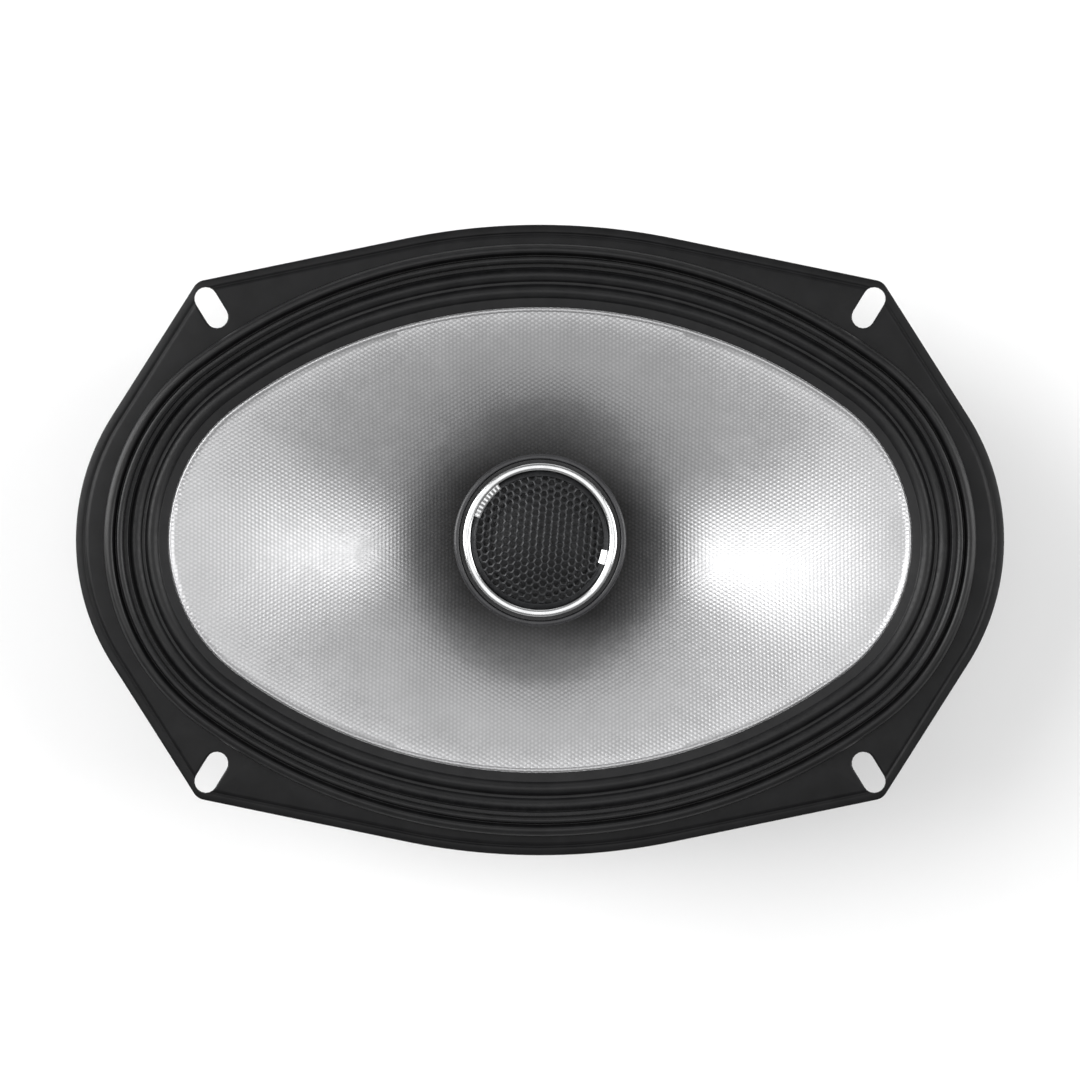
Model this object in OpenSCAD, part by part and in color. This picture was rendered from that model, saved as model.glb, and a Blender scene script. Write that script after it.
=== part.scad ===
// Coaxial 6x9 inch car speaker, millimetres.
// The origin is the centre of the flange's rear face, which seats on the panel.
// +Z is the acoustic axis towards the listener, and +X is the long axis.

/* [Flange] */
// Length over the two rounded ends
flange_length = 237; // [235:1:239]
// Height over the two crowns
flange_height = 161; // [159:1:163]
// Thickness of the flange plate
flange_t = 1.5; // [1.2:0.1:2]
// Radius of the rounded ends
flange_end_r = 59; // [57:1:61]
// Radius of the crowns
flange_crown_r = 170; // [165:1:175]
// Distance from the long axis's middle to an ear's corner, along X
ear_x = 87.5; // [87:0.5:88.5]
// Distance from the long axis to an ear's corner, along Y
ear_y = 66; // [65.5:0.5:67]
// Spacing of the screw slots along X
slot_spacing_x = 167.8; // [166:0.2:168.4]
// Spacing of the screw slots along Y
slot_spacing_y = 118.6; // [117:0.2:119]
// Width of a screw slot
slot_w = 5.8; // [4.5:0.1:6]
// Length of a screw slot, end to end
slot_length = 11.3; // [9:0.1:12]
// Tilt of a screw slot from the Y axis
slot_tilt = 31.5; // [25:0.5:35]

/* [Cone and surround] */
// Half length of the cone's rim line
rim_a = 95; // [94:0.5:95.5]
// Half height of the cone's rim line
rim_b = 59.4; // [59:0.1:60]
// Radius of the rim line's rounded ends
rim_end_r = 42; // [40:0.5:44]
// Height of the cone's rim lip, top face
cone_rim_z = -0.9; // [-2:0.1:0]
// Depth from the rim lip to the neck
cone_depth = 31; // [28:0.5:32]
// Vertical thickness of the cone wall
cone_t = 0.6; // [0.5:0.1:1]
// Radius of the surround's two half rolls
roll_r = 1.9; // [1.7:0.1:2]
// Thickness of the surround's skin
surround_t = 0.6; // [0.4:0.1:0.7]
// Height of the gasket's two ridges over the flange
gasket_h = 2.8; // [2:0.1:3.5]

/* [Basket] */
// Depth of the upright skirt behind the flange
skirt_depth = 15.5; // [14:0.5:17]
// Wall thickness
basket_t = 1.3; // [1.2:0.1:1.8]
// Half length of the basket's foot
foot_a = 52; // [50:0.5:53]
// Half height of the basket's foot
foot_b = 42.6; // [42:0.2:44]
// Height of the basket's foot, where the motor is riveted on
foot_z = -49.8; // [-51:0.1:-49.4]
// Width of a basket window
window_w = 12; // [9:0.5:13]
// Angle between two windows, seen along the ellipse
window_pitch = 20; // [18:1:22]

/* [Motor] */
// Radius of the ferrite magnet
magnet_r = 52; // [50:0.5:54]
// Thickness of the ferrite magnet
magnet_t = 15.4; // [14:0.2:17]
// Radius of the steel plates
plate_r = 50.5; // [48:0.5:52]
// Thickness of the top plate
top_plate_t = 4.2; // [4:0.1:5]
// Thickness of the back plate
back_plate_t = 4; // [4:0.1:5]
// Radius of the pole piece
pole_r = 17; // [16.8:0.1:17]
// Radial gap between the pole piece and the top plate
gap_w = 1.6; // [1.6:0.1:1.8]
// Height of the voice coil's winding
coil_h = 12; // [8:0.5:13]

/* [Tweeter] */
// Radius of the tweeter pod at its shoulder
pod_r = 22.2; // [21.8:0.1:22.6]
// Height of the pod's shoulder
pod_top_z = -3.6; // [-4.5:0.1:-3]
// Radius of the post that carries the pod
post_r = 11.5; // [10:0.1:11.5]
// Height of the pod's underside
pod_base_z = -22.5; // [-23:0.1:-22]
// Radius of the tweeter's dome
dome_r = 12.4; // [12:0.1:12.5]

/* [Crossover and terminals] */
// Radius of the capacitor
capacitor_r = 7.2; // [6:0.1:7.3]
// Length of the capacitor
capacitor_length = 22; // [18:0.5:23]
// Width of the positive terminal blade
positive_w = 4.8; // [4:0.1:5]
// Width of the negative terminal blade
negative_w = 2.8; // [2.5:0.1:3.5]
// Length of the terminal blades below their block
blade_length = 8; // [6:0.5:9]

/* [Hidden] */
$fn = 96;
slack = 0.05;           // bonded pieces stand this far apart
through = 1;            // a cut runs this far past the face it leaves

// Distances outwards from the rim line
lip_out = 2.3;                          // edge of the cone's lip
roll_1 = lip_out + roll_r;              // middle of the inner roll
roll_2 = roll_1 + 2 * roll_r + 0.4;     // middle of the outer roll
step_out = roll_2 + roll_r + 0.3;       // outer face of the surround's step
opening_out = step_out + 0.3;           // basket opening
surround_out = 15.6;
gasket_in = 10.9;
gasket_out = 15.9;
gasket_groove = 12.9;
skirt_top_out = 12.7;
skirt_low_out = 12;

// Flange corner tangent points
end_x = flange_length / 2 - flange_end_r;
crown_y = flange_crown_r - flange_height / 2;
ear_round = 3.8;
ear_steps = 8;

// Basket heights
foot_t = 2;
foot_end_r = 37;
foot_hole_r = 24.2;
bowl_top_z = -skirt_depth;
bowl_low_z = foot_z + foot_t;
window_top_z = -19.5;
window_low_z = -34.5;
shelf_z = -39;
shelf_t = 1.5;
shelf_r = 44.5;

// Motor heights
magnet_top_z = foot_z - top_plate_t;
magnet_low_z = magnet_top_z - magnet_t;
back_z = magnet_low_z - back_plate_t;
magnet_bore_r = 27;
coil_in_r = 17.55;
coil_out_r = 18.2;
former_in_r = 17.35;
former_top_z = -30;
former_low_z = -62;
screw_r = 2;
screw_hole_r = 2.2;
screw_head_r = 4.2;
screw_head_h = 2.2;
counterbore_r = 5.2;
counterbore_h = 2.4;
rivet_r = 2.2;
rivet_head_r = 3.74;
rivet_head_h = 1.2;
rivet_ring_r = 36.5;

// Cone
neck_r = 17.9;
neck_z = cone_rim_z - cone_depth;
cone_power = 1.5;
cone_rings = 8;
sleeve_r = 17.65;
sleeve_h = 2.5;
rim_sides = 72;

// Spider
spider_in_r = 17.65;
spider_out_r = 48;
spider_lip_w = 3.4;
spider_t = 0.5;
spider_wave = 1.3;
spider_waves = 5;
spider_z = shelf_z + spider_wave;

// Tweeter heights
ring_in_r = 17.9;
ring_out_r = 19.8;
ring_top_z = pod_top_z + 0.6;
faceplate_z = -9.2;
faceplate_t = 2;
faceplate_in_r = 13.4;
diaphragm_z = faceplate_z + faceplate_t;
yoke_low_z = -17;
yoke_out_r = 17;
yoke_t = 1.8;
pole_disc_low_z = faceplate_z - 2.4;
pole_disc_top_z = faceplate_z - 0.4;
nut_z = pod_base_z + 2.5;
nut_r = 4;
nut_h = 2.8;
nut_pocket_r = 6;
screw_tip_z = yoke_low_z - 0.2;
lead_bore_r = 1.6;      // hole up the post for the tweeter's wires
lead_x = post_r * 0.6;

// Terminal block on the skirt's lower edge
terminal_angle = 244.2;
terminal_x = -66.6;
terminal_y = -58.2;
terminal_length = 14;
terminal_low_z = -20;
terminal_pitch = 6.4;
terminal_rivet_r = 0.9;
terminal_head_r = 1.2;
terminal_head_h = 0.5;
blade_t = 0.8;
blade_out = -2.4;       // middle of a blade's rivet
blade_inner = 1.3;      // from the rivet's middle to the foot's inner end
blade_outer = 2.05;     // and to the upright blade's outer face

// Capacitor beside the basket's foot
capacitor_at = [-47.5, -38.5, -48.3];
capacitor_turn = -46.8;
capacitor_sleeve = 1;
seal_t = 2.6;
seal_gap = 0.5;

function crown_radius(a, b, r) = (a * a + b * b - 2 * a * r) / (2 * (b - r));

// The point of a four-arc oval where its outward normal has the angle t
function oval_point(a, b, r, t) =
    let (
        big_r = crown_radius(a, b, r),
        c = abs(cos(t)), s = abs(sin(t)), sx = sign(cos(t)), sy = sign(sin(t))
    )
    atan2(s, c) < atan2(big_r - b, a - r)
        ? [sx * (a - r + r * c), sy * r * s]
        : [sx * big_r * c, sy * (big_r * s - big_r + b)];

// A point on the rim line grown outwards
function rim_point(grow, t) = oval_point(rim_a + grow, rim_b + grow, rim_end_r + grow, t);

function unit(v) = v / norm(v);

// Area of an oval of four arcs, with half axes a and b and end radius r
module oval(a, b, r) {
    big_r = crown_radius(a, b, r);
    turn = atan2(big_r - b, a - r);
    corner_x = a - r + r * cos(turn);
    corner_y = r * sin(turn);
    square([2 * corner_x, 2 * corner_y], center = true);
    for (side = [-1, 1]) {
        intersection() {
            translate([side * (a - r), 0]) circle(r);
            translate([side * (corner_x + a), 0]) square([2 * a, 4 * b], center = true);
        }
        intersection() {
            translate([0, side * (b - big_r)]) circle(big_r);
            translate([0, side * (corner_y + b)]) square([4 * a, 2 * b], center = true);
        }
    }
}

// Area inside the rim line grown outwards
module rim_oval(grow) {
    oval(rim_a + grow, rim_b + grow, rim_end_r + grow);
}

// Joins closed sections, each a loop of the same number of points, all the way round
module closed_sweep(sections) {
    count = len(sections);
    m = len(sections[0]);
    polyhedron(
        points = [for (section = sections, p = section) p],
        faces = [for (j = [0:count - 1], i = [0:m - 1])
            let (a = j * m, b = ((j + 1) % count) * m, k = (i + 1) % m)
            for (f = [[a + i, b + i, b + k], [a + i, b + k, a + k]]) f]
    );
}

// A tube with flat ends between two radii and two heights
module ring(r_in, r_out, z_low, z_top) {
    rotate_extrude() translate([r_in, z_low]) square([r_out - r_in, z_top - z_low]);
}

module disc(r, z_low, z_top) {
    translate([0, 0, z_low]) cylinder(r = r, h = z_top - z_low);
}

// One ear of the flange in the first quadrant, with its straight sides and round corner
module ear_area() {
    corner = [ear_x, ear_y];
    to_end = corner - [end_x, 0];
    end_normal = atan2(to_end[1], to_end[0]) - acos(flange_end_r / norm(to_end));
    end_touch = [end_x, 0] + flange_end_r * [cos(end_normal), sin(end_normal)];
    to_crown = corner + [0, crown_y];
    crown_normal = atan2(to_crown[1], to_crown[0]) + acos(flange_crown_r / norm(to_crown));
    crown_touch = [0, -crown_y] + flange_crown_r * [cos(crown_normal), sin(crown_normal)];
    half = (crown_normal - end_normal) / 2;
    middle = end_normal + half;
    round_at = corner - ear_round / cos(half) * [cos(middle), sin(middle)];
    polygon(concat(
        [[0, 0], end_touch],
        [for (i = [0:ear_steps]) let (t = end_normal + 2 * half * i / ear_steps)
            round_at + ear_round * [cos(t), sin(t)]],
        [crown_touch, [0, crown_touch[1]]]
    ));
}

// Whole outline of the flange
module flange_area() {
    oval(flange_length / 2, flange_height / 2, flange_end_r);
    for (mx = [0, 1], my = [0, 1])
        mirror([mx, 0]) mirror([0, my]) ear_area();
}

// A through slot with round ends at each ear
module screw_slots() {
    reach = (slot_length - slot_w) / 2;
    for (mx = [0, 1], my = [0, 1])
        mirror([mx, 0, 0]) mirror([0, my, 0])
            translate([slot_spacing_x / 2, slot_spacing_y / 2, -through])
                rotate([0, 0, -slot_tilt]) {
                    for (end = [-1, 1])
                        translate([0, end * reach, 0]) cylinder(d = slot_w, h = flange_t + 2 * through);
                    translate([-slot_w / 2, -reach, 0])
                        cube([slot_w, 2 * reach, flange_t + 2 * through]);
                }
}

// Point of the bowl's wall at height z, moved inwards, where its normal has the angle t
function bowl_point(inwards, z, t) =
    let (
        top = rim_point(skirt_low_out - inwards, t),
        low = oval_point(foot_a - inwards, foot_b - inwards, foot_end_r - inwards, t),
        share = (z - bowl_top_z) / (bowl_low_z - bowl_top_z)
    )
    concat(top + share * (low - top), z);

// Closed section of the skirt, the bowl with its spider shelf, and the foot
function basket_section(t) =
    let (out = [cos(t), sin(t)], hole = foot_hole_r * out)
    [
        concat(rim_point(skirt_top_out, t), flange_t / 2), bowl_point(0, bowl_top_z, t),
        bowl_point(0, bowl_low_z, t), bowl_point(0, bowl_low_z, t) - [0, 0, foot_t],
        concat(hole, foot_z), concat(hole, bowl_low_z),
        bowl_point(basket_t, bowl_low_z, t), bowl_point(basket_t, shelf_z - shelf_t, t),
        concat(shelf_r * out, shelf_z - shelf_t), concat(shelf_r * out, shelf_z),
        bowl_point(basket_t, shelf_z, t), bowl_point(basket_t, bowl_top_z, t),
        concat(rim_point(opening_out - 0.1, t), flange_t / 2)
    ];

// A window with chamfered lower corners, cut outwards from the basket's middle
module window(t) {
    share = (window_top_z + window_low_z) / 2 / (bowl_low_z + bowl_top_z);
    half_a = rim_a + skirt_low_out - share * (rim_a + skirt_low_out - foot_a);
    half_b = rim_b + skirt_low_out - share * (rim_b + skirt_low_out - foot_b);
    facing = atan2(cos(t) / half_b, sin(t) / half_a);
    corner = window_w / 4;
    cut_length = 50;
    translate([half_a * sin(t), half_b * cos(t), 0]) rotate([90, 0, facing + 90])
        translate([0, 0, -cut_length / 2]) linear_extrude(cut_length)
            polygon([
                [-window_w / 2, window_top_z], [-window_w / 2, window_low_z + corner],
                [-window_w / 2 + corner, window_low_z], [window_w / 2 - corner, window_low_z],
                [window_w / 2, window_low_z + corner], [window_w / 2, window_top_z]
            ]);
}

module windows() {
    for (side = [0, 180], i = [-2:2]) window(side + i * window_pitch);
    for (side = [90, 270], i = [-1, 1]) window(side + i * window_pitch * 0.9);
}

module at_rivets() {
    for (i = [0:3]) rotate([0, 0, 45 + 90 * i]) translate([rivet_ring_r, 0, 0]) children();
}

module basket() {
    color("#1c1c1e") {
        difference() {
            linear_extrude(flange_t) flange_area();
            translate([0, 0, -through]) linear_extrude(flange_t + 2 * through)
                rim_oval(opening_out);
            screw_slots();
        }
        difference() {
            closed_sweep([for (j = [0:rim_sides - 1]) basket_section(360 * j / rim_sides)]);
            windows();
            at_rivets() disc(rivet_r + slack, foot_z - through, bowl_low_z + through);
        }
    }
}

// A band round the rim line between two distances outwards
module rim_band(inner, outer, z_low, z_top) {
    translate([0, 0, z_low]) linear_extrude(z_top - z_low) difference() {
        rim_oval(outer);
        rim_oval(inner);
    }
}

module front_gasket() {
    seat = flange_t + surround_t;
    ridge = seat + gasket_h;
    bed = seat + gasket_h * 0.55;
    color("#141415") {
        rim_band(gasket_in, gasket_out, seat, bed);
        rim_band(gasket_in + 0.2, gasket_groove - 0.4, bed, ridge);
        rim_band(gasket_groove + 0.4, gasket_out - 0.5, bed, ridge);
    }
}

// Points over a half roll of radius r, between two angles from its inner foot
function roll_points(at, r, start, stop, steps) =
    [for (i = [0:steps]) let (t = start + (stop - start) * i / steps)
        [at - r * cos(t), cone_rim_z + r * sin(t)]];

// Section of the surround: distance outwards from the rim line, and height
function surround_profile() =
    let (
        under_r = roll_r - surround_t,
        lip_z = cone_rim_z + surround_t,
        seat = flange_t + surround_t
    )
    concat(
        [[-0.5, cone_rim_z], [-0.5, lip_z]],
        roll_points(roll_1, roll_r, 22, 158, 5),
        roll_points(roll_2, roll_r, 22, 135, 4),
        [
            [step_out - surround_t, lip_z + 0.4], [step_out - surround_t, seat],
            [surround_out, seat], [surround_out, flange_t],
            [step_out, flange_t], [step_out, cone_rim_z]
        ],
        roll_points(roll_2, under_r, 180, 0, 4),
        roll_points(roll_1, under_r, 180, 0, 4)
    );

module surround() {
    profile = surround_profile();
    color("#151516") closed_sweep([for (j = [0:rim_sides - 1])
        [for (p = profile) concat(rim_point(p[0], 360 * j / rim_sides), p[1])]]);
}

// A point of the cone's front face in the direction t: s is 0 at the neck and 1 at the rim
function cone_point(s, t) =
    let (edge = rim_point(0, t), neck = neck_r * unit(edge))
    concat(neck + s * (edge - neck), neck_z + cone_depth * (1 - pow(1 - s, cone_power)));

// Closed section of the cone wall, its rim lip and its neck sleeve in the direction t
function cone_section(t) =
    let (
        front = [for (i = [0:cone_rings]) cone_point(i / cone_rings, t)],
        lip = concat(rim_point(lip_out, t), cone_rim_z),
        out = unit(rim_point(0, t)),
        down = [0, 0, cone_t],
        sleeve_z = neck_z - sleeve_h
    )
    concat(
        [concat(sleeve_r * out, neck_z)], front, [lip, lip - down],
        [for (i = [cone_rings:-1:1]) front[i] - down],
        [concat((neck_r + 0.6) * out, neck_z - cone_t), concat((neck_r + 0.6) * out, sleeve_z),
            concat(sleeve_r * out, sleeve_z)]
    );

module cone() {
    color("#b9bcc0")
        closed_sweep([for (j = [0:rim_sides - 1]) cone_section(360 * j / rim_sides)]);
}

module voice_coil_former() {
    color("#c9a66b") ring(former_in_r, coil_in_r, former_low_z, former_top_z);
}

module voice_coil() {
    middle = (foot_z + magnet_top_z) / 2;
    color("#b56a34")
        ring(coil_in_r + slack, coil_out_r, middle - coil_h / 2, middle + coil_h / 2);
}

module dust_ring() {
    color("#222222") ring(post_r + 0.4, former_in_r - slack, former_top_z - 1.6, former_top_z);
}

module spider() {
    low = spider_in_r + 1.5;
    high = spider_out_r - spider_lip_w;
    steps = spider_waves * 10;
    wave = [for (i = [0:steps]) let (s = i / steps)
        [low + s * (high - low), spider_z - spider_wave * cos(360 * spider_waves * s)]];
    start = [spider_in_r, spider_z - spider_wave];
    finish = [spider_out_r, spider_z - spider_wave];
    line = concat([start], wave, [finish]);
    color("#5a2320") rotate_extrude() polygon(concat(
        line, [for (i = [len(line) - 1:-1:0]) line[i] + [0, spider_t]]
    ));
}

module top_plate() {
    color("#b8babc") difference() {
        disc(plate_r, magnet_top_z, foot_z);
        disc(pole_r + gap_w, magnet_top_z - through, foot_z + through);
        at_rivets() disc(rivet_r + slack, magnet_top_z - through, foot_z + through);
    }
}

module ferrite_magnet() {
    color("#3a3b3e") ring(magnet_bore_r, magnet_r, magnet_low_z, magnet_top_z);
}

module back_plate() {
    color("#b8babc") difference() {
        disc(plate_r, back_z, magnet_low_z);
        disc(screw_hole_r, back_z - through, magnet_low_z + through);
        disc(counterbore_r, back_z - through, back_z + counterbore_h);
    }
}

module pole_piece() {
    color("#a9abad") ring(screw_hole_r, pole_r, magnet_low_z, foot_z);
}

module basket_rivets() {
    color("#9fa1a3") at_rivets() {
        disc(rivet_r, magnet_top_z, foot_z + foot_t);
        disc(rivet_head_r, foot_z + foot_t, foot_z + foot_t + rivet_head_h);
    }
}

module tweeter_post() {
    color("#2b2b2d") difference() {
        disc(post_r, foot_z, pod_base_z);
        disc(screw_hole_r, foot_z - through, pod_base_z + through);
        translate([lead_x, 0, 0]) disc(lead_bore_r, foot_z - through, pod_base_z + through);
    }
}

module mounting_screw() {
    head_top_z = back_z + counterbore_h;
    color("#8d8f92") {
        disc(screw_head_r, head_top_z - screw_head_h, head_top_z);
        disc(screw_r, head_top_z - screw_head_h, screw_tip_z);
    }
}

module mounting_nut() {
    color("#8d8f92") difference() {
        translate([0, 0, nut_z]) cylinder(r = nut_r, h = nut_h, $fn = 6);
        disc(screw_r + slack, nut_z - through, nut_z + nut_h + through);
    }
}

module tweeter_housing() {
    bulge = 9;
    steps = 8;
    side = [for (i = [0:steps]) let (t = 90 * i / steps)
        [post_r + (pod_r - 1.3 - post_r) * sin(t), pod_base_z + bulge * (1 - cos(t))]];
    color("#333437") difference() {
        rotate_extrude() polygon(concat(
            [[screw_hole_r, pod_base_z]], side,
            [
                [pod_r, pod_top_z - 1], [pod_r - 0.5, pod_top_z],
                [ring_out_r + 0.7, pod_top_z], [ring_out_r + 0.7, faceplate_z + 1],
                [ring_out_r + slack, faceplate_z + 1], [ring_out_r + slack, faceplate_z],
                [yoke_out_r + 0.4, faceplate_z], [yoke_out_r + 0.4, yoke_low_z],
                [nut_pocket_r, yoke_low_z], [nut_pocket_r, nut_z], [screw_hole_r, nut_z]
            ]
        ));
        translate([lead_x, 0, 0]) disc(lead_bore_r, pod_base_z - through, yoke_low_z + through);
    }
}

module tweeter_trim_ring() {
    color("#d8dadd") rotate_extrude() {
        translate([ring_in_r, diaphragm_z + slack])
            square([ring_out_r - ring_in_r, ring_top_z - 0.9 - diaphragm_z]);
        translate([(ring_in_r + ring_out_r) / 2, ring_top_z - (ring_out_r - ring_in_r) / 2])
            circle(d = ring_out_r - ring_in_r);
    }
}

module tweeter_grille() {
    rim_r = ring_in_r - 0.1;
    rise = 3;
    low_z = diaphragm_z + 2;
    big_r = (rim_r * rim_r + rise * rise) / (2 * rise);
    wall = 0.5;
    color("#2a2b2e") {
        rotate_extrude() intersection() {
            translate([0, low_z + rise - big_r]) difference() {
                circle(big_r);
                circle(big_r - wall);
            }
            translate([0, low_z]) square([rim_r, rise + 1]);
        }
        ring(rim_r - 0.8, rim_r, diaphragm_z + slack, low_z + 0.3);
    }
}

module tweeter_faceplate() {
    color("#2d2e30") ring(faceplate_in_r, ring_out_r, faceplate_z, diaphragm_z);
}

module tweeter_yoke() {
    color("#a4a6a8") {
        ring(faceplate_in_r, yoke_out_r, yoke_low_z, faceplate_z);
        disc(faceplate_in_r + 0.2, yoke_low_z, yoke_low_z + yoke_t);
    }
}

module tweeter_magnet() {
    color("#77797c") disc(dome_r - 1, yoke_low_z + yoke_t, pole_disc_low_z);
}

module tweeter_pole_disc() {
    color("#a4a6a8") disc(dome_r - 0.7, pole_disc_low_z, pole_disc_top_z);
}

module tweeter_dome() {
    rise = 3.2;
    big_r = (dome_r * dome_r + rise * rise) / (2 * rise);
    wall = 0.3;
    low_z = diaphragm_z + 0.1;
    color("#3c3d40") rotate_extrude() intersection() {
        translate([0, low_z + rise - big_r]) difference() {
            circle(big_r);
            circle(big_r - wall);
        }
        translate([0, low_z]) square([dome_r, rise + 1]);
    }
}

module tweeter_voice_coil() {
    color("#b56a34") ring(dome_r - 0.35, dome_r - 0.05, pole_disc_low_z - 0.2, diaphragm_z + slack);
}

module tweeter_surround() {
    low = dome_r + 0.05;
    color("#303134") rotate_extrude() translate([low, diaphragm_z]) difference() {
        square([faceplate_in_r + 1.2 - low, 0.8]);
        translate([0.5, -0.01]) square([faceplate_in_r - low - 0.6, 0.5]);
    }
}

// Places things at the skirt's lower edge: X points outwards, Y runs along the edge
module at_terminals() {
    translate([terminal_x, terminal_y, 0]) rotate([0, 0, terminal_angle]) children();
}

module at_blades() {
    for (side = [-1, 1])
        translate([blade_out, side * terminal_pitch / 2, 0]) children();
}

module terminal_block() {
    color("#26262a") at_terminals() difference() {
        rotate([90, 0, 0]) translate([0, 0, -terminal_length / 2])
            linear_extrude(terminal_length) polygon([
                [-0.4, bowl_top_z - 0.6], [1, bowl_top_z - 0.6], [1, bowl_top_z - 2.6],
                [0, terminal_low_z], [-4.5, terminal_low_z]
            ]);
        at_blades() disc(terminal_rivet_r + slack, terminal_low_z - through, terminal_low_z + 1.2);
    }
}

// A spade blade with a foot that is riveted under the block
module blade(side, width) {
    at_terminals() translate([blade_out, side * terminal_pitch / 2, 0]) {
        difference() {
            translate([-blade_inner, -width / 2, terminal_low_z - blade_t])
                cube([blade_inner + blade_outer, width, blade_t]);
            disc(terminal_rivet_r + slack, terminal_low_z - through, terminal_low_z + through);
        }
        translate([blade_outer - blade_t, -width / 2, terminal_low_z - blade_length])
            cube([blade_t, width, blade_length]);
    }
}

module positive_terminal() {
    color("#c8b878") blade(-1, positive_w);
}

module negative_terminal() {
    color("#c8b878") blade(1, negative_w);
}

module terminal_rivets() {
    head_z = terminal_low_z - blade_t - terminal_head_h;
    color("#9fa1a3") at_terminals() at_blades() {
        disc(terminal_rivet_r, head_z, terminal_low_z + 1.1);
        disc(terminal_head_r, head_z, head_z + terminal_head_h);
    }
}

// Lies along the capacitor: X is its axis, towards the sealed end
module at_capacitor() {
    translate(capacitor_at) rotate([0, 0, capacitor_turn]) rotate([0, 90, 0]) children();
}

module capacitor_body() {
    far = -capacitor_length / 2;
    sleeve = capacitor_sleeve;
    color("#26272b") at_capacitor() rotate_extrude() polygon([
        [0, far], [capacitor_r - sleeve, far], [capacitor_r - 0.3, far + 0.3],
        [capacitor_r, far + sleeve], [capacitor_r, -far - 0.3], [capacitor_r - 0.3, -far],
        [capacitor_r - sleeve, -far], [capacitor_r - sleeve, -far - seal_t],
        [0, -far - seal_t]
    ]);
}

module capacitor_seal() {
    near = capacitor_length / 2 - seal_gap;
    color("#5a0f12") at_capacitor() difference() {
        disc(capacitor_r - capacitor_sleeve - slack, capacitor_length / 2 - seal_t, near);
        for (side = [-1, 1])
            translate([0, side * 2.5, 0]) disc(0.5, near - 1.5, near + through);
    }
}

module capacitor_clip() {
    color("#2e2e31") at_capacitor() ring(capacitor_r + slack, capacitor_r + 1, -2.5, 2.5);
}

// Points of a smooth curve through the given points
function between(a, b, c, d, s) = 0.5 * ((2 * b) + (c - a) * s
    + (2 * a - 5 * b + 4 * c - d) * s * s + (3 * b - a - 3 * c + d) * s * s * s);
function smooth(p, steps) = concat(
    [for (i = [0:len(p) - 2], k = [0:steps - 1])
        between(p[max(i - 1, 0)], p[i], p[i + 1], p[min(i + 2, len(p) - 1)], k / steps)],
    [p[len(p) - 1]]
);

// A thin wire swept along a smooth curve
module wire(p, r, steps = 3, sides = 8) {
    path = smooth(p, steps);
    last = len(path) - 1;
    points = [for (i = [0:last])
        let (along = unit(path[min(i + 1, last)] - path[max(i - 1, 0)]),
            across = unit(cross(along, abs(along[2]) > 0.8 ? [1, 0, 0] : [0, 0, 1])),
            up = cross(across, along))
        for (j = [0:sides - 1])
            path[i] + r * (cos(360 * j / sides) * across + sin(360 * j / sides) * up)];
    polyhedron(points = points, faces = concat(
        [for (i = [0:last - 1], j = [0:sides - 1]) let (k = (j + 1) % sides)
            [i * sides + j, i * sides + k, (i + 1) * sides + k, (i + 1) * sides + j]],
        [[for (j = [sides - 1:-1:0]) j]],
        [[for (j = [0:sides - 1]) last * sides + j]]
    ));
}

module capacitor_leads() {
    color("#9a9b9e") {
        wire([[-38.7, -45, -46.4], [-38, -46.8, -45], [-42, -51.5, -38], [-54, -58, -32],
            [-61, -60.4, -29], [-63.3, -59.9, -27.2]], 0.4);
        wire([[-38.7, -45, -50.4], [-36.4, -47.8, -51], [-33, -51, -49], [-24, -50.5, -44],
            [-20, -45.6, -43.6]], 0.4);
    }
}

module tweeter_leads() {
    color("#7a1c1c")
        wire([for (z = [foot_z + 1, -40, -30, pod_base_z + 4]) [lead_x, 0, z]], 0.8);
}

module tinsel_leads() {
    color("#b08a5a") {
        wire([[-43, -27, -15.6], [-47, -31, -20], [-55, -41, -23.4], [-61, -49, -19.4]], 0.5);
        wire([[-36, -31, -15.6], [-41, -35.5, -20], [-49, -46, -23.4], [-54, -54.5, -19.4]], 0.5);
    }
}

basket();
front_gasket();
surround();
cone();
voice_coil_former();
voice_coil();
dust_ring();
spider();
top_plate();
ferrite_magnet();
back_plate();
pole_piece();
basket_rivets();
tweeter_post();
mounting_screw();
mounting_nut();
tweeter_housing();
tweeter_trim_ring();
tweeter_grille();
tweeter_faceplate();
tweeter_yoke();
tweeter_magnet();
tweeter_pole_disc();
tweeter_dome();
tweeter_voice_coil();
tweeter_surround();
terminal_block();
positive_terminal();
negative_terminal();
terminal_rivets();
capacitor_body();
capacitor_seal();
capacitor_clip();
capacitor_leads();
tweeter_leads();
tinsel_leads();
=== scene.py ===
"""Looks of the oval coaxial car speaker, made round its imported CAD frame.

Shapes are worked out in millimetres in the part's own frame: z = 0 is the flange's rear face,
+Z is towards the listener and +X is the long axis. mesh_object() turns them into metres.
"""

import math

import bmesh
import bpy
import numpy as np
from mathutils import Matrix, Vector


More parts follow.
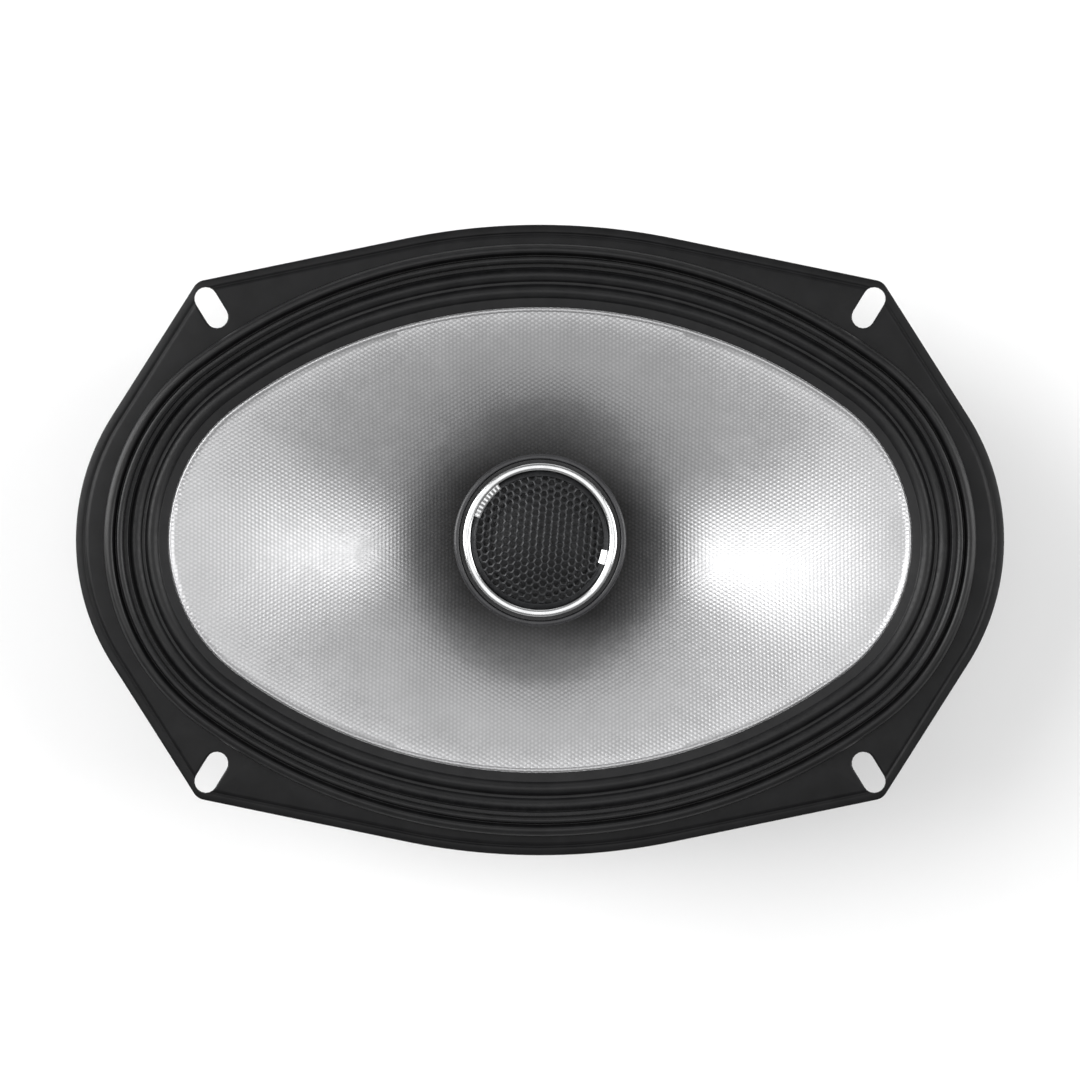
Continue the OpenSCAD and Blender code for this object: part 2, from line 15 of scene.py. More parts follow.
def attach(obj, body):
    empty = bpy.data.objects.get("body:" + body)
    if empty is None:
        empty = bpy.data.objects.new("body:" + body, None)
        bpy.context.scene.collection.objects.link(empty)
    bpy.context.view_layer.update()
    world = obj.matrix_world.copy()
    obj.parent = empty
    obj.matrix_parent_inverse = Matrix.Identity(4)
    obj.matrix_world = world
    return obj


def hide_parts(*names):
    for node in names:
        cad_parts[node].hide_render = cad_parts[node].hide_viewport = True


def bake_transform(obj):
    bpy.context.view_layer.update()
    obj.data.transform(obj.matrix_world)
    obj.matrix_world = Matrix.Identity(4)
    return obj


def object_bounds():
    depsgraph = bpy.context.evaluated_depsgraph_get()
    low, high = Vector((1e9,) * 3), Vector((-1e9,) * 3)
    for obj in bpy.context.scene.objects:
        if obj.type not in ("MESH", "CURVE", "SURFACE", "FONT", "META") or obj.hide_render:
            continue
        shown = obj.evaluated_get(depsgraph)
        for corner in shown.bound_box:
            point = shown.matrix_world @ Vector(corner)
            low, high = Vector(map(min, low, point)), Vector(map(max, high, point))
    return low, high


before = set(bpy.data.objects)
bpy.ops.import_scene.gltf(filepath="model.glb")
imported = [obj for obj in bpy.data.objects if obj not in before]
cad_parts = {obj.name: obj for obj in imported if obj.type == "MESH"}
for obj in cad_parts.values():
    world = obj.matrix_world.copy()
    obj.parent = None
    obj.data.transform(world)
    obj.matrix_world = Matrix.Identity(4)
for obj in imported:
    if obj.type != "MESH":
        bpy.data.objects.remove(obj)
cad_low, cad_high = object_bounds()
MM = 0.001

# Outline of the flange
FLANGE_T = 1.5
FLANGE_END_R, FLANGE_CROWN_R = 59.0, 170.0
END_X, CROWN_Y = 237 / 2 - FLANGE_END_R, FLANGE_CROWN_R - 161 / 2
EAR = np.array([87.5, 66.0])
EAR_ROUND = 3.8
SLOT_X, SLOT_Y, SLOT_TILT = 83.9, 59.3, math.radians(31.5)
SLOT_R, SLOT_REACH = 2.9, 2.75

# Half axes and end radius of two ovals: the cone's rim line, which rings follow at a constant
# distance, and the bowl's foot
RIM = (95.0, 59.4, 42.0)
FOOT = (52.0, 42.6, 37.0)
ROUND = 480
CONE_RIM_Z, CONE_DEPTH, CONE_T, CONE_POWER = -0.9, 31.0, 0.6, 1.5
NECK_R, SLEEVE_R, SLEEVE_H = 17.9, 17.65, 2.5
LIP_OUT = 2.3
ROLL_R, SKIN = 1.9, 0.6
ROLL_1 = LIP_OUT + ROLL_R
ROLL_2 = ROLL_1 + 2 * ROLL_R + 0.4
STEP_OUT = ROLL_2 + ROLL_R + 0.3
OPENING_OUT = STEP_OUT + 0.3
SURROUND_OUT = 15.6
GASKET_IN, GASKET_GROOVE, GASKET_OUT = 10.9, 12.9, 15.9
GASKET_TOP = 4.9
SKIRT_TOP_OUT, SKIRT_LOW_OUT, WALL = 12.7, 12.0, 1.3
SKIRT_LOW_Z, BOWL_LOW_Z, FOOT_Z = -15.5, -47.8, -49.8
WINDOW_TOP_Z, WINDOW_LOW_Z, WINDOW_W, WINDOW_PITCH = -19.5, -34.5, 12.0, 20
SHELF_Z, SHELF_T, SHELF_R = -39.0, 1.5, 44.5
FOOT_HOLE_R = 24.2

# Motor and its screw
PLATE_R, MAGNET_R, GAP_R, MAGNET_BORE_R = 50.5, 52.0, 18.6, 27.0
MAGNET_TOP_Z, MAGNET_LOW_Z, BACK_Z = -54.0, -69.4, -73.4
SCREW_BORE_R, RECESS_R, RECESS = 2.2, 5.2, 2.4
GROOVE_R, GROOVE_SIDE, GROOVE = 15.5, 0.7, 0.45


# ---------------- shapes

def crown_radius(a, b, r):
    """Radius of the long arcs of a four-arc oval with half axes a and b and end radius r."""
    return (a * a + b * b - 2 * a * r) / (2 * (b - r))


def oval_at(a, b, r, polar):
    """Points where rays at the polar angles meet the four-arc oval, as an array of x, y."""
    big = crown_radius(a, b, r)
    turn = math.atan2(big - b, a - r)
    touch = math.atan2(r * math.sin(turn), a - r + r * math.cos(turn))
    c, s = np.abs(np.cos(polar)), np.abs(np.sin(polar))
    at_end = np.arctan2(s, c) < touch
    end_x, low_y = a - r, big - b
    reach_end = end_x * c + np.sqrt(np.maximum(r * r - (end_x * s) ** 2, 0))
    reach_crown = -low_y * s + np.sqrt(big * big - (low_y * c) ** 2)
    reach = np.where(at_end, reach_end, reach_crown)
    return np.stack([reach * np.cos(polar), reach * np.sin(polar)], axis=-1)


def rim_at(grow, polar):
    """Points at a constant distance outside the cone's rim line."""
    a, b, r = RIM
    return oval_at(a + grow, b + grow, r + grow, polar)


def from_centre(points):
    """Distances from the Z axis."""
    return np.linalg.norm(points[:, :2], axis=1)


def level(points, z):
    """x, y points lifted to height z."""
    return np.concatenate([points, np.full(points.shape[:-1] + (1,), float(z))], axis=-1)


def soften(loop, radii, steps=3):
    """Rounds every corner of closed loops, an array of (loops, corners, 3), by its own radius."""
    loop = np.asarray(loop, float)
    before = np.roll(loop, 1, axis=1) - loop
    after = np.roll(loop, -1, axis=1) - loop
    out = []
    for i, radius in enumerate(radii):
        corner = loop[:, i]
        if radius == 0:
            out.append(corner)
            continue
        ends = []
        for side in (before[:, i], after[:, i]):
            length = np.linalg.norm(side, axis=1, keepdims=True)
            ends.append(corner + side / length * np.minimum(radius, 0.45 * length))
        for k in range(steps + 1):
            t = k / steps
            out.append((1 - t) ** 2 * ends[0] + 2 * t * (1 - t) * corner + t * t * ends[1])
    return np.stack(out, axis=1)


def mesh_object(name, points, faces):
    """A mesh object from points in millimetres."""
    mesh = bpy.data.meshes.new(name)
    mesh.from_pydata((np.asarray(points, float) * MM).tolist(), [], faces)
    bm = bmesh.new()
    bm.from_mesh(mesh)
    bmesh.ops.remove_doubles(bm, verts=bm.verts, dist=1e-7)
    bmesh.ops.dissolve_degenerate(bm, dist=1e-7, edges=bm.edges)
    bmesh.ops.recalc_face_normals(bm, faces=bm.faces)
    bm.to_mesh(mesh)
    bm.free()
    obj = bpy.data.objects.new(name, mesh)
    bpy.context.scene.collection.objects.link(obj)
    return obj


def ring_faces(count, m, open_ring=False):
    """Quads that join count closed loops of m points, all the way round unless open_ring."""
    faces = []
    for j in range(count - 1 if open_ring else count):
        a, b = j * m, (j + 1) % count * m
        for i in range(m):
            k = (i + 1) % m
            faces.append((a + i, b + i, b + k, a + k))
    return faces


def swept(name, loops):
    """Closed loops, an array of (loops, points, 3), joined all the way round."""
    count, m = loops.shape[:2]
    return mesh_object(name, loops.reshape(-1, 3), ring_faces(count, m))


def capped(name, loops):
    """Closed loops joined end to end, with both ends closed."""
    count, m = loops.shape[:2]
    faces = ring_faces(count, m, open_ring=True)
    faces.append(tuple(range(m - 1, -1, -1)))
    faces.append(tuple(range((count - 1) * m, count * m)))
    return mesh_object(name, loops.reshape(-1, 3), faces)


def around_rim(name, profile, radii, steps=3):
    """Sweeps corners (distance out from the rim line, height) round the rim line."""
    polar = np.linspace(0, 2 * math.pi, ROUND, endpoint=False)
    loops = np.stack([level(rim_at(d, polar), z) for d, z in profile], axis=1)
    return swept(name, soften(loops, radii, steps))


def revolved(name, profile, radii=None, count=160, steps=3, arc=None):
    """Turns corners (radius, height) about the Z axis, or through the arc (start, stop) in degrees."""
    flat = np.array([[(r, 0.0, z) for r, z in profile]])
    if radii is not None:
        flat = soften(flat, radii, steps)
    r, z = flat[0, :, 0], flat[0, :, 2]
    if arc is None:
        turn = np.linspace(0, 2 * math.pi, count, endpoint=False)
    else:
        turn = np.radians(np.linspace(arc[0], arc[1], count))
    loops = np.stack([np.outer(np.cos(turn), r), np.outer(np.sin(turn), r),
                      np.tile(z, (len(turn), 1))], axis=-1)
    return swept(name, loops) if arc is None else capped(name, loops)


def smooth_path(points, steps):
    """Points of a smooth curve through the given points, as the CAD wires have them."""
    p = np.asarray(points, float)
    p = np.vstack([p[:1], p, p[-1:]])
    out = []
    for i in range(len(p) - 3):
        a, b, c, d = p[i:i + 4]
        for k in range(steps):
            s = k / steps
            out.append(0.5 * (2 * b + (c - a) * s + (2 * a - 5 * b + 4 * c - d) * s * s
                              + (3 * b - a - 3 * c + d) * s ** 3))
    out.append(p[-1])
    return np.array(out)


def tube_loops(points, radius, sides=12, steps=10, twist=0.0, lobes=0, lobe_depth=0.0):
    """Loops of a round or lobed wire along a smooth path. twist is in half turns per millimetre."""
    path = smooth_path(points, steps)
    along = np.gradient(path, axis=0)
    along /= np.linalg.norm(along, axis=1, keepdims=True)
    across = np.cross(along[0], (0.3, 0.2, 1.0))
    loops, gone = [], 0.0
    for i, at in enumerate(path):
        across = across - along[i] * np.dot(across, along[i])
        across /= np.linalg.norm(across)
        up = np.cross(across, along[i])
        if i:
            gone += np.linalg.norm(at - path[i - 1])
        turn = np.linspace(0, 2 * math.pi, sides, endpoint=False)
        reach = radius * (1 - lobe_depth + lobe_depth * np.abs(np.cos(
            lobes * turn / 2 + math.pi * twist * gone)))
        loops.append(at + np.outer(reach * np.cos(turn), across) + np.outer(reach * np.sin(turn), up))
    return np.array(loops)


def prism(name, outline, z_low, z_high, radii=None, edge=0.0):
    """An outline of x, y corners drawn up between two heights, with its edges chamfered inwards."""
    flat = np.array([[(x, y, 0.0) for x, y in outline]])
    if radii is not None:
        flat = soften(flat, radii, 4)
    flat = flat[0, :, :2]
    normal = np.roll(flat, 1, axis=0) - np.roll(flat, -1, axis=0)
    normal = np.stack([-normal[:, 1], normal[:, 0]], axis=1)
    normal /= np.maximum(np.linalg.norm(normal, axis=1, keepdims=True), 1e-9)
    inner = flat - normal * edge
    loops = [level(inner, z_low), level(flat, z_low + edge),
             level(flat, z_high - edge), level(inner, z_high)]
    return capped(name, np.array(loops if edge else [loops[1], loops[2]]))


def joined(name, objects):
    """One object from several separate solids."""
    bm = bmesh.new()
    for o in objects:
        bm.from_mesh(o.data)
    mesh = bpy.data.meshes.new(name)
    bm.to_mesh(mesh)
    bm.free()
    for o in objects:
        bpy.data.objects.remove(o)
    obj = bpy.data.objects.new(name, mesh)
    bpy.context.scene.collection.objects.link(obj)
    return obj


def moved(obj, matrix):
    """Moves the mesh itself, so that the object's own transform stays the identity."""
    obj.data.transform(matrix)
    return obj


def cut(obj, cutters):
    """Takes the cutters out of obj, and deletes them."""
    for cutter in cutters:
        m = obj.modifiers.new("cut", "BOOLEAN")
        m.operation, m.solver, m.object = "DIFFERENCE", "EXACT", cutter
    graph = bpy.context.evaluated_depsgraph_get()
    solid = bpy.data.meshes.new_from_object(obj.evaluated_get(graph))
    obj.modifiers.clear()
    obj.data = solid
    for cutter in cutters:
        bpy.data.objects.remove(cutter)
    return obj


# ---------------- materials

class Paint:
    """A Principled material whose patterns follow the piece's own place in the frame."""

    def __init__(self, name, colour, roughness, metallic=0.0):
        self.name = name
        self.material = bpy.data.materials.new(name)
        self.material.use_nodes = True
        self.tree = self.material.node_tree
        self.shader = self.tree.nodes["Principled BSDF"]
        self.set("Base Color", (*colour, 1))
        self.set("Roughness", roughness)
        self.set("Metallic", metallic)
        self.place = self.add("ShaderNodeTexCoord").outputs["Object"]
        self.height = None

    def set(self, socket, value):
        self.shader.inputs[socket].default_value = value
        return self

    def add(self, kind, **values):
        node = self.tree.nodes.new(kind)
        for key, value in values.items():
            setattr(node, key, value)
        return node

    def link(self, source, target):
        self.tree.links.new(source, target)

    def maths(self, operation, a, b=None):
        node = self.add("ShaderNodeMath", operation=operation)
        for slot, value in zip(node.inputs, (a, b)):
            if isinstance(value, (int, float)):
                slot.default_value = value
            elif value is not None:
                self.link(value, slot)
        return node.outputs[0]

    def noise(self, size_mm, detail=3.0):
        """Cloudy noise whose blobs are about size_mm across, 0 to 1."""
        node = self.add("ShaderNodeTexNoise")
        node.inputs["Scale"].default_value = 1000 / size_mm
        node.inputs["Detail"].default_value = detail
        self.link(self.place, node.inputs["Vector"])
        return node.outputs[0]

    def ripple(self, direction, pitch_mm):
        """Cosine of the place along a direction, one wave per pitch."""
        node = self.add("ShaderNodeVectorMath", operation="DOT_PRODUCT")
        self.link(self.place, node.inputs[0])
        node.inputs[1].default_value = direction
        turns = 2000 * math.pi / pitch_mm
        return self.maths("COSINE", self.maths("MULTIPLY", node.outputs["Value"], turns))

    def from_axis(self):
        """Distance from the Z axis, in metres."""
        flat = self.add("ShaderNodeVectorMath", operation="MULTIPLY")
        self.link(self.place, flat.inputs[0])
        flat.inputs[1].default_value = (1, 1, 0)
        length = self.add("ShaderNodeVectorMath", operation="LENGTH")
        self.link(flat.outputs[0], length.inputs[0])
        return length.outputs["Value"]

    def rings(self, pitch_mm):
        """Cosine of the distance from the Z axis, one wave per pitch."""
        turns = 2000 * math.pi / pitch_mm
        return self.maths("COSINE", self.maths("MULTIPLY", self.from_axis(), turns))

    def grey(self, source, colour):
        """Base colour as one colour times a factor."""
        node = self.add("ShaderNodeVectorMath", operation="SCALE")
        node.inputs[0].default_value = colour
        self.link(source, node.inputs["Scale"])
        self.link(node.outputs[0], self.shader.inputs["Base Color"])
        return self

    def spread(self, source, low, high, from_low=0.3, from_high=0.7):
        node = self.add("ShaderNodeMapRange")
        self.link(source, node.inputs["Value"])
        for key, value in (("From Min", from_low), ("From Max", from_high),
                           ("To Min", low), ("To Max", high)):
            node.inputs[key].default_value = value
        return node.outputs[0]

    def rough(self, source, low, high, *span):
        self.link(self.spread(source, low, high, *span), self.shader.inputs["Roughness"])
        return self

    def tint(self, source, dark, light, *span):
        node = self.add("ShaderNodeMix", data_type="RGBA")
        self.link(self.spread(source, 0, 1, *span), node.inputs[0])
        node.inputs[6].default_value = (*dark, 1)
        node.inputs[7].default_value = (*light, 1)
        self.link(node.outputs[2], self.shader.inputs["Base Color"])
        return self

    def bump(self, source, depth_mm, strength=1.0):
        """Adds relief of about depth_mm to what is there already."""
        node = self.add("ShaderNodeBump")
        node.inputs["Strength"].default_value = strength
        node.inputs["Distance"].default_value = depth_mm * MM
        self.link(source, node.inputs["Height"])
        if self.height is not None:
            self.link(self.height, node.inputs["Normal"])
        self.height = node.outputs[0]
        self.link(self.height, self.shader.inputs["Normal"])
        return self


def stove_paint():
    paint = Paint("basket_paint", (0.008, 0.008, 0.009), 0.4)
    paint.tint(paint.noise(6, 4), (0.003, 0.003, 0.0033), (0.0065, 0.0065, 0.007))
    paint.rough(paint.noise(1.2), 0.33, 0.46)
    return paint.bump(paint.noise(0.7, 2), 0.004, 0.5).set("Specular IOR Level", 0.2)


def gasket_rubber():
    paint = Paint("gasket_rubber", (0.008, 0.008, 0.0085), 0.45)
    paint.tint(paint.noise(4, 4), (0.005, 0.005, 0.0053), (0.009, 0.009, 0.0094))
    paint.rough(paint.noise(0.8), 0.28, 0.38)
    return paint.bump(paint.noise(0.4, 2), 0.003, 0.5).set("Specular IOR Level", 0.3)


def surround_rubber():
    paint = Paint("surround_rubber", (0.006, 0.006, 0.0065), 0.42)
    paint.tint(paint.noise(5, 4), (0.0045, 0.0045, 0.005), (0.0085, 0.0085, 0.009))
    paint.rough(paint.noise(1.0), 0.34, 0.5)
    return paint.bump(paint.noise(0.4, 2), 0.004, 0.5).set("Specular IOR Level", 0.3)


def cone_weave():
    paint = Paint("cone_weave", (0.50, 0.50, 0.507), 0.42, 0.7)
    dots = paint.ripple((1, 0, 0), 0.95)
    for degrees in (60, 120):
        wave = paint.ripple((math.cos(math.radians(degrees)), math.sin(math.radians(degrees)), 0), 0.95)
        dots = paint.maths("ADD", dots, wave)
    patch = paint.spread(paint.noise(14, 4), -1.0, 1.0)
    shade = paint.spread(paint.maths("ADD", dots, patch), 0.86, 1.12, -1.5, 3)
    # Painted shade: the base colour falls to a tenth from 38 mm in to 17 mm from the axis, where the
    # tweeter pod shades the cone and is reflected dark in it.
    neck_painted_shade = paint.spread(paint.from_axis(), 0.10, 1.0, 0.017, 0.038)
    paint.grey(paint.maths("MULTIPLY", shade, neck_painted_shade), (0.50, 0.50, 0.507))
    paint.rough(paint.noise(3), 0.38, 0.46)
    paint.bump(dots, 0.03, 0.42)
    return paint.bump(paint.noise(9, 3), 0.12, 0.25)


def spider_cloth():
    paint = Paint("spider_cloth", (0.20, 0.040, 0.028), 0.8)
    warp = paint.ripple((1, 0, 0), 0.6)
    weft = paint.ripple((0, 1, 0), 0.6)
    weave = paint.maths("MULTIPLY", warp, weft)
    paint.tint(paint.maths("ADD", weave, paint.noise(3, 4)), (0.13, 0.024, 0.017), (0.30, 0.062, 0.043),
               -0.5, 1.5)
    paint.rough(paint.noise(1), 0.7, 0.9)
    return paint.bump(weave, 0.06, 0.8).set("Sheen Weight", 0.2)


def zinc_steel():
    paint = Paint("zinc_steel", (0.60, 0.605, 0.61), 0.26, 1.0)
    paint.tint(paint.noise(9, 5), (0.54, 0.545, 0.55), (0.66, 0.665, 0.665))
    paint.rough(paint.noise(2, 4), 0.24, 0.32)
    return paint.bump(paint.rings(0.55), 0.0008, 0.4)


def ferrite():
    paint = Paint("ferrite", (0.028, 0.0285, 0.031), 0.4, 0.1)
    paint.tint(paint.noise(3, 7), (0.022, 0.0225, 0.0245), (0.036, 0.0365, 0.039), 0.2, 0.8)
    paint.rough(paint.noise(1.5, 4), 0.32, 0.48)
    paint.bump(paint.noise(0.5, 3), 0.01, 0.5)
    return paint.bump(paint.ripple((0, 0, 1), 0.8), 0.004, 0.5)


def moulded(name, colour, rough_low, rough_high):
    """Moulded plastic with a fine spark-eroded grain."""
    paint = Paint(name, colour, rough_low)
    lighter = tuple(c * 1.35 for c in colour)
    darker = tuple(c * 0.8 for c in colour)
    paint.tint(paint.noise(5, 4), darker, lighter)
    paint.rough(paint.noise(1.0), rough_low, rough_high)
    return paint.bump(paint.noise(0.4, 2), 0.01, 0.6)


def chrome():
    paint = Paint("trim_chrome", (0.62, 0.625, 0.635), 0.07, 1.0)
    paint.tint(paint.noise(4, 3), (0.56, 0.565, 0.57), (0.68, 0.685, 0.69))
    return paint.rough(paint.noise(1.5, 4), 0.13, 0.2)


def grille_steel():
    paint = Paint("grille_steel", (0.018, 0.0185, 0.020), 0.32, 0.5)
    paint.tint(paint.noise(2, 3), (0.013, 0.0135, 0.015), (0.025, 0.0255, 0.027))
    return paint.rough(paint.noise(0.8, 3), 0.24, 0.42)


def dome_silk():
    paint = Paint("dome_silk", (0.014, 0.014, 0.0155), 0.5)
    weave = paint.maths("MULTIPLY", paint.ripple((1, 0, 0), 0.3), paint.ripple((0, 1, 0), 0.3))
    paint.tint(weave, (0.010, 0.010, 0.011), (0.020, 0.020, 0.022), -1, 1)
    paint.rough(paint.noise(1), 0.42, 0.6)
    return paint.bump(weave, 0.02, 0.6).set("Sheen Weight", 0.3)


def copper_winding():
    paint = Paint("copper_winding", (0.72, 0.30, 0.14), 0.3, 1.0)
    paint.tint(paint.noise(2, 4), (0.60, 0.22, 0.10), (0.80, 0.38, 0.20))
    paint.rough(paint.noise(1), 0.24, 0.4)
    return paint.bump(paint.ripple((0, 0, 1), 0.32), 0.05, 0.9)


def film():
    paint = Paint("former_film", (0.42, 0.22, 0.06), 0.25)
    paint.tint(paint.noise(5, 3), (0.34, 0.16, 0.04), (0.50, 0.28, 0.09))
    return paint.rough(paint.noise(2), 0.18, 0.32)


def felt():
    paint = Paint("felt", (0.018, 0.018, 0.019), 0.95)
    paint.tint(paint.noise(0.8, 6), (0.010, 0.010, 0.011), (0.032, 0.032, 0.033))
    paint.bump(paint.noise(0.5, 6), 0.12, 0.9)
    return paint.rough(paint.noise(0.6), 0.85, 1.0).set("Sheen Weight", 0.4)


def capacitor_sleeve():
    paint = Paint("capacitor_sleeve", (0.017, 0.0175, 0.020), 0.3)
    paint.tint(paint.noise(5, 4), (0.013, 0.0135, 0.0155), (0.024, 0.0245, 0.028))
    paint.rough(paint.noise(2, 4), 0.24, 0.4)
    return paint.bump(paint.noise(2.5, 3), 0.05, 0.4).set("Coat Weight", 0.25)


def capacitor_resin():
    paint = Paint("capacitor_resin", (0.17, 0.008, 0.012), 0.16)
    paint.tint(paint.noise(3, 4), (0.085, 0.003, 0.006), (0.27, 0.016, 0.020))
    paint.rough(paint.noise(2), 0.1, 0.24)
    paint.bump(paint.noise(3, 2), 0.25, 0.5)
    return paint.set("Coat Weight", 0.8).set("Coat Roughness", 0.05)


def tinned(name, dark, light, roughness):
    """Dipped tin over brass or copper, with soft runs."""
    paint = Paint(name, light, roughness, 1.0)
    paint.tint(paint.noise(2, 4), dark, light)
    paint.rough(paint.noise(0.9, 4), roughness, roughness + 0.15)
    return paint.bump(paint.noise(1.2, 2), 0.02, 0.4)


def wire_sleeve(name, dark, light):
    paint = Paint(name, light, 0.4)
    paint.tint(paint.noise(2, 3), dark, light)
    return paint.rough(paint.noise(1), 0.35, 0.5)


def floor_paper_and_glow():
    """White paper with painted light: it glows, from nothing near the object to bright far from it, like
    a studio sweep lit from behind.
    """
    paint = Paint("floor_paper_and_glow", (0.93, 0.93, 0.93), 0.6)
    paint.tint(paint.noise(160, 3), (0.92, 0.92, 0.92), (0.94, 0.94, 0.94))
    away = paint.add("ShaderNodeVectorMath", operation="LENGTH")
    paint.link(paint.place, away.inputs[0])
    paint.set("Emission Color", (1, 1, 1, 1))
    # Painted light: the paper's own glow rises from 0 at 0.3 m from the origin to 0.75 at 1.5 m.
    painted_glow = paint.spread(away.outputs["Value"], 0.0, 0.75, 0.3, 1.5)
    paint.link(painted_glow, paint.shader.inputs["Emission Strength"])
    paint.material.cycles.emission_sampling = "NONE"
    return paint.rough(paint.noise(40), 0.55, 0.65)


PAINTS = {paint.name: paint.material for paint in (
    stove_paint(), gasket_rubber(), surround_rubber(), cone_weave(), spider_cloth(),
    zinc_steel(), ferrite(), chrome(), grille_steel(), dome_silk(), copper_winding(),
    film(), felt(), capacitor_sleeve(), capacitor_resin(), floor_paper_and_glow(),
    moulded("pod_plastic", (0.022, 0.022, 0.024), 0.24, 0.34),
    moulded("post_plastic", (0.010, 0.010, 0.011), 0.45, 0.6),
    moulded("terminal_plastic", (0.012, 0.012, 0.013), 0.4, 0.55),
    moulded("clip_plastic", (0.014, 0.014, 0.0155), 0.35, 0.5),
    tinned("terminal_tin", (0.50, 0.46, 0.36), (0.72, 0.69, 0.60), 0.25),
    tinned("tinned_wire", (0.52, 0.52, 0.52), (0.74, 0.74, 0.73), 0.28),
    tinned("tinsel_braid", (0.45, 0.22, 0.10), (0.72, 0.42, 0.24), 0.38),
    tinned("neodymium", (0.42, 0.42, 0.44), (0.62, 0.62, 0.63), 0.15),
    wire_sleeve("lead_sleeve", (0.11, 0.008, 0.008), (0.19, 0.016, 0.015)),
)}


def dress(obj, paint, body, node, crease=35):
    """Shades a piece, gives it its material, hangs it on the body it rides on and hides the CAD node it
    stands for.
    """
    obj.data.shade_smooth()
    obj.data.set_sharp_from_angle(angle=math.radians(crease))
    obj.data.materials.clear()
    obj.data.materials.append(PAINTS[paint])
    if body:
        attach(obj, body)
    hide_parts(node)


def dress_bending(obj, paint, node, weight, crease=60):
    """Dresses a piece that lies between the chassis and a moving body, and hangs it on neither.

    weight takes the points, in millimetres, and is 1 where the piece would follow the moving body; its
    values are worked out here and not used.
    """
    dress(obj, paint, None, node, crease)
    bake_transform(obj)
    points = np.array([v.co for v in obj.data.vertices], float) / MM
    t = np.clip(weight(points), 0, 1)


# ---------------- basket and front

def flange_outline():
    """Points and outward normals all round the flange."""
    corner = EAR
    to_end = corner - (END_X, 0)
    first = math.atan2(to_end[1], to_end[0]) - math.acos(FLANGE_END_R / np.linalg.norm(to_end))
    to_crown = corner + (0, CROWN_Y)
    second = math.atan2(to_crown[1], to_crown[0]) + math.acos(
        FLANGE_CROWN_R / np.linalg.norm(to_crown))
    middle, half = (first + second) / 2, (second - first) / 2
    round_at = corner - EAR_ROUND / math.cos(half) * np.array([math.cos(middle), math.sin(middle)])

    def arc(centre, radius, start, stop, steps):
        t = np.linspace(start, stop, steps)
        n = np.stack([np.cos(t), np.sin(t)], axis=1)
        return np.array(centre) + radius * n, n

    parts = [arc((END_X, 0), FLANGE_END_R, 0, first, 26),
             arc(round_at, EAR_ROUND, first, second, 12),
             arc((0, -CROWN_Y), FLANGE_CROWN_R, second, math.pi / 2, 22)]
    points, normals = [], []
    for i, (p, n) in enumerate(parts):
        if i:
            gap = np.linspace(0, 1, 18)[1:-1, None]
            points.append(points[-1][-1] + gap * (p[0] - points[-1][-1]))
            normals.append(np.repeat(n[:1], len(gap), axis=0))
        points.append(p)
        normals.append(n)
    p, n = np.vstack(points), np.vstack(normals)
    flip = np.array([-1, 1])
    half_p = np.vstack([p, (p * flip)[::-1][1:]])
    half_n = np.vstack([n, (n * flip)[::-1][1:]])
    return (np.vstack([half_p, (-half_p)[1:-1]]), np.vstack([half_n, (-half_n)[1:-1]]))


def bowl_at(inwards, z, polar):
    """The bowl's outside at height z, or a surface inwards from it."""
    a, b, r = RIM
    grow = SKIRT_LOW_OUT - inwards
    top = oval_at(a + grow, b + grow, r + grow, polar)
    low = oval_at(*(v - inwards for v in FOOT), polar)
    share = (z - SKIRT_LOW_Z) / (BOWL_LOW_Z - SKIRT_LOW_Z)
    return level(top + share * (low - top), z)


def stadium(radius, reach):
    """Corners of a slot's outline along Y, anticlockwise."""
    turn = np.linspace(0, math.pi, 10)
    top = np.stack([radius * np.cos(turn), reach + radius * np.sin(turn)], axis=1)
    return np.vstack([top, -top])


def slot_cutters():
    """Tools for the screw slots: a wide foot up to the flange, then a slot flared at its front edge."""
    levels = ((-2, 0.45), (0, 0.45), (0.35, 0), (1.05, 0), (1.3, 0.12), (1.5, 0.4), (4, 0.4))
    out = []
    for sx in (1, -1):
        for sy in (1, -1):
            loops = np.array([level(stadium(SLOT_R + grow, SLOT_REACH), z) for z, grow in levels])
            tool = capped("slot_cutter", loops)
            turn = Matrix.Rotation(-SLOT_TILT * sx * sy, 4, "Z")
            out.append(moved(tool, Matrix.Translation((sx * SLOT_X * MM, sy * SLOT_Y * MM, 0)) @ turn))
    return out


def window_places():
    """Angle of each window from the short axis, in degrees."""
    return ([side + i * WINDOW_PITCH for side in (0, 180) for i in range(-2, 3)]
            + [side + i * WINDOW_PITCH * 0.9 for side in (90, 270) for i in (-1, 1)])


def window_cutters():
    """Tools for the bowl's windows, facing outwards from where the CAD model has them."""
    reach = 25
    share = (WINDOW_TOP_Z + WINDOW_LOW_Z) / 2 / (BOWL_LOW_Z + SKIRT_LOW_Z)
    half_a = RIM[0] + SKIRT_LOW_OUT - share * (RIM[0] + SKIRT_LOW_OUT - FOOT[0])
    half_b = RIM[1] + SKIRT_LOW_OUT - share * (RIM[1] + SKIRT_LOW_OUT - FOOT[1])
    w, c = WINDOW_W / 2, WINDOW_W / 4
    outline = [(-w, WINDOW_TOP_Z), (-w, WINDOW_LOW_Z + c), (-w + c, WINDOW_LOW_Z),
               (w - c, WINDOW_LOW_Z), (w, WINDOW_LOW_Z + c), (w, WINDOW_TOP_Z)]
    out = []
    for degrees in window_places():
        t = math.radians(degrees)
        facing = math.atan2(math.cos(t) / half_b, math.sin(t) / half_a)
        tool = prism("window_cutter", outline, -reach, reach, radii=[0.8] * 6)
        place = (Matrix.Translation((half_a * math.sin(t) * MM, half_b * math.cos(t) * MM, 0))
                 @ Matrix.Rotation(facing + math.pi / 2, 4, "Z") @ Matrix.Rotation(math.pi / 2, 4, "X"))
        out.append(moved(tool, place))
    return out


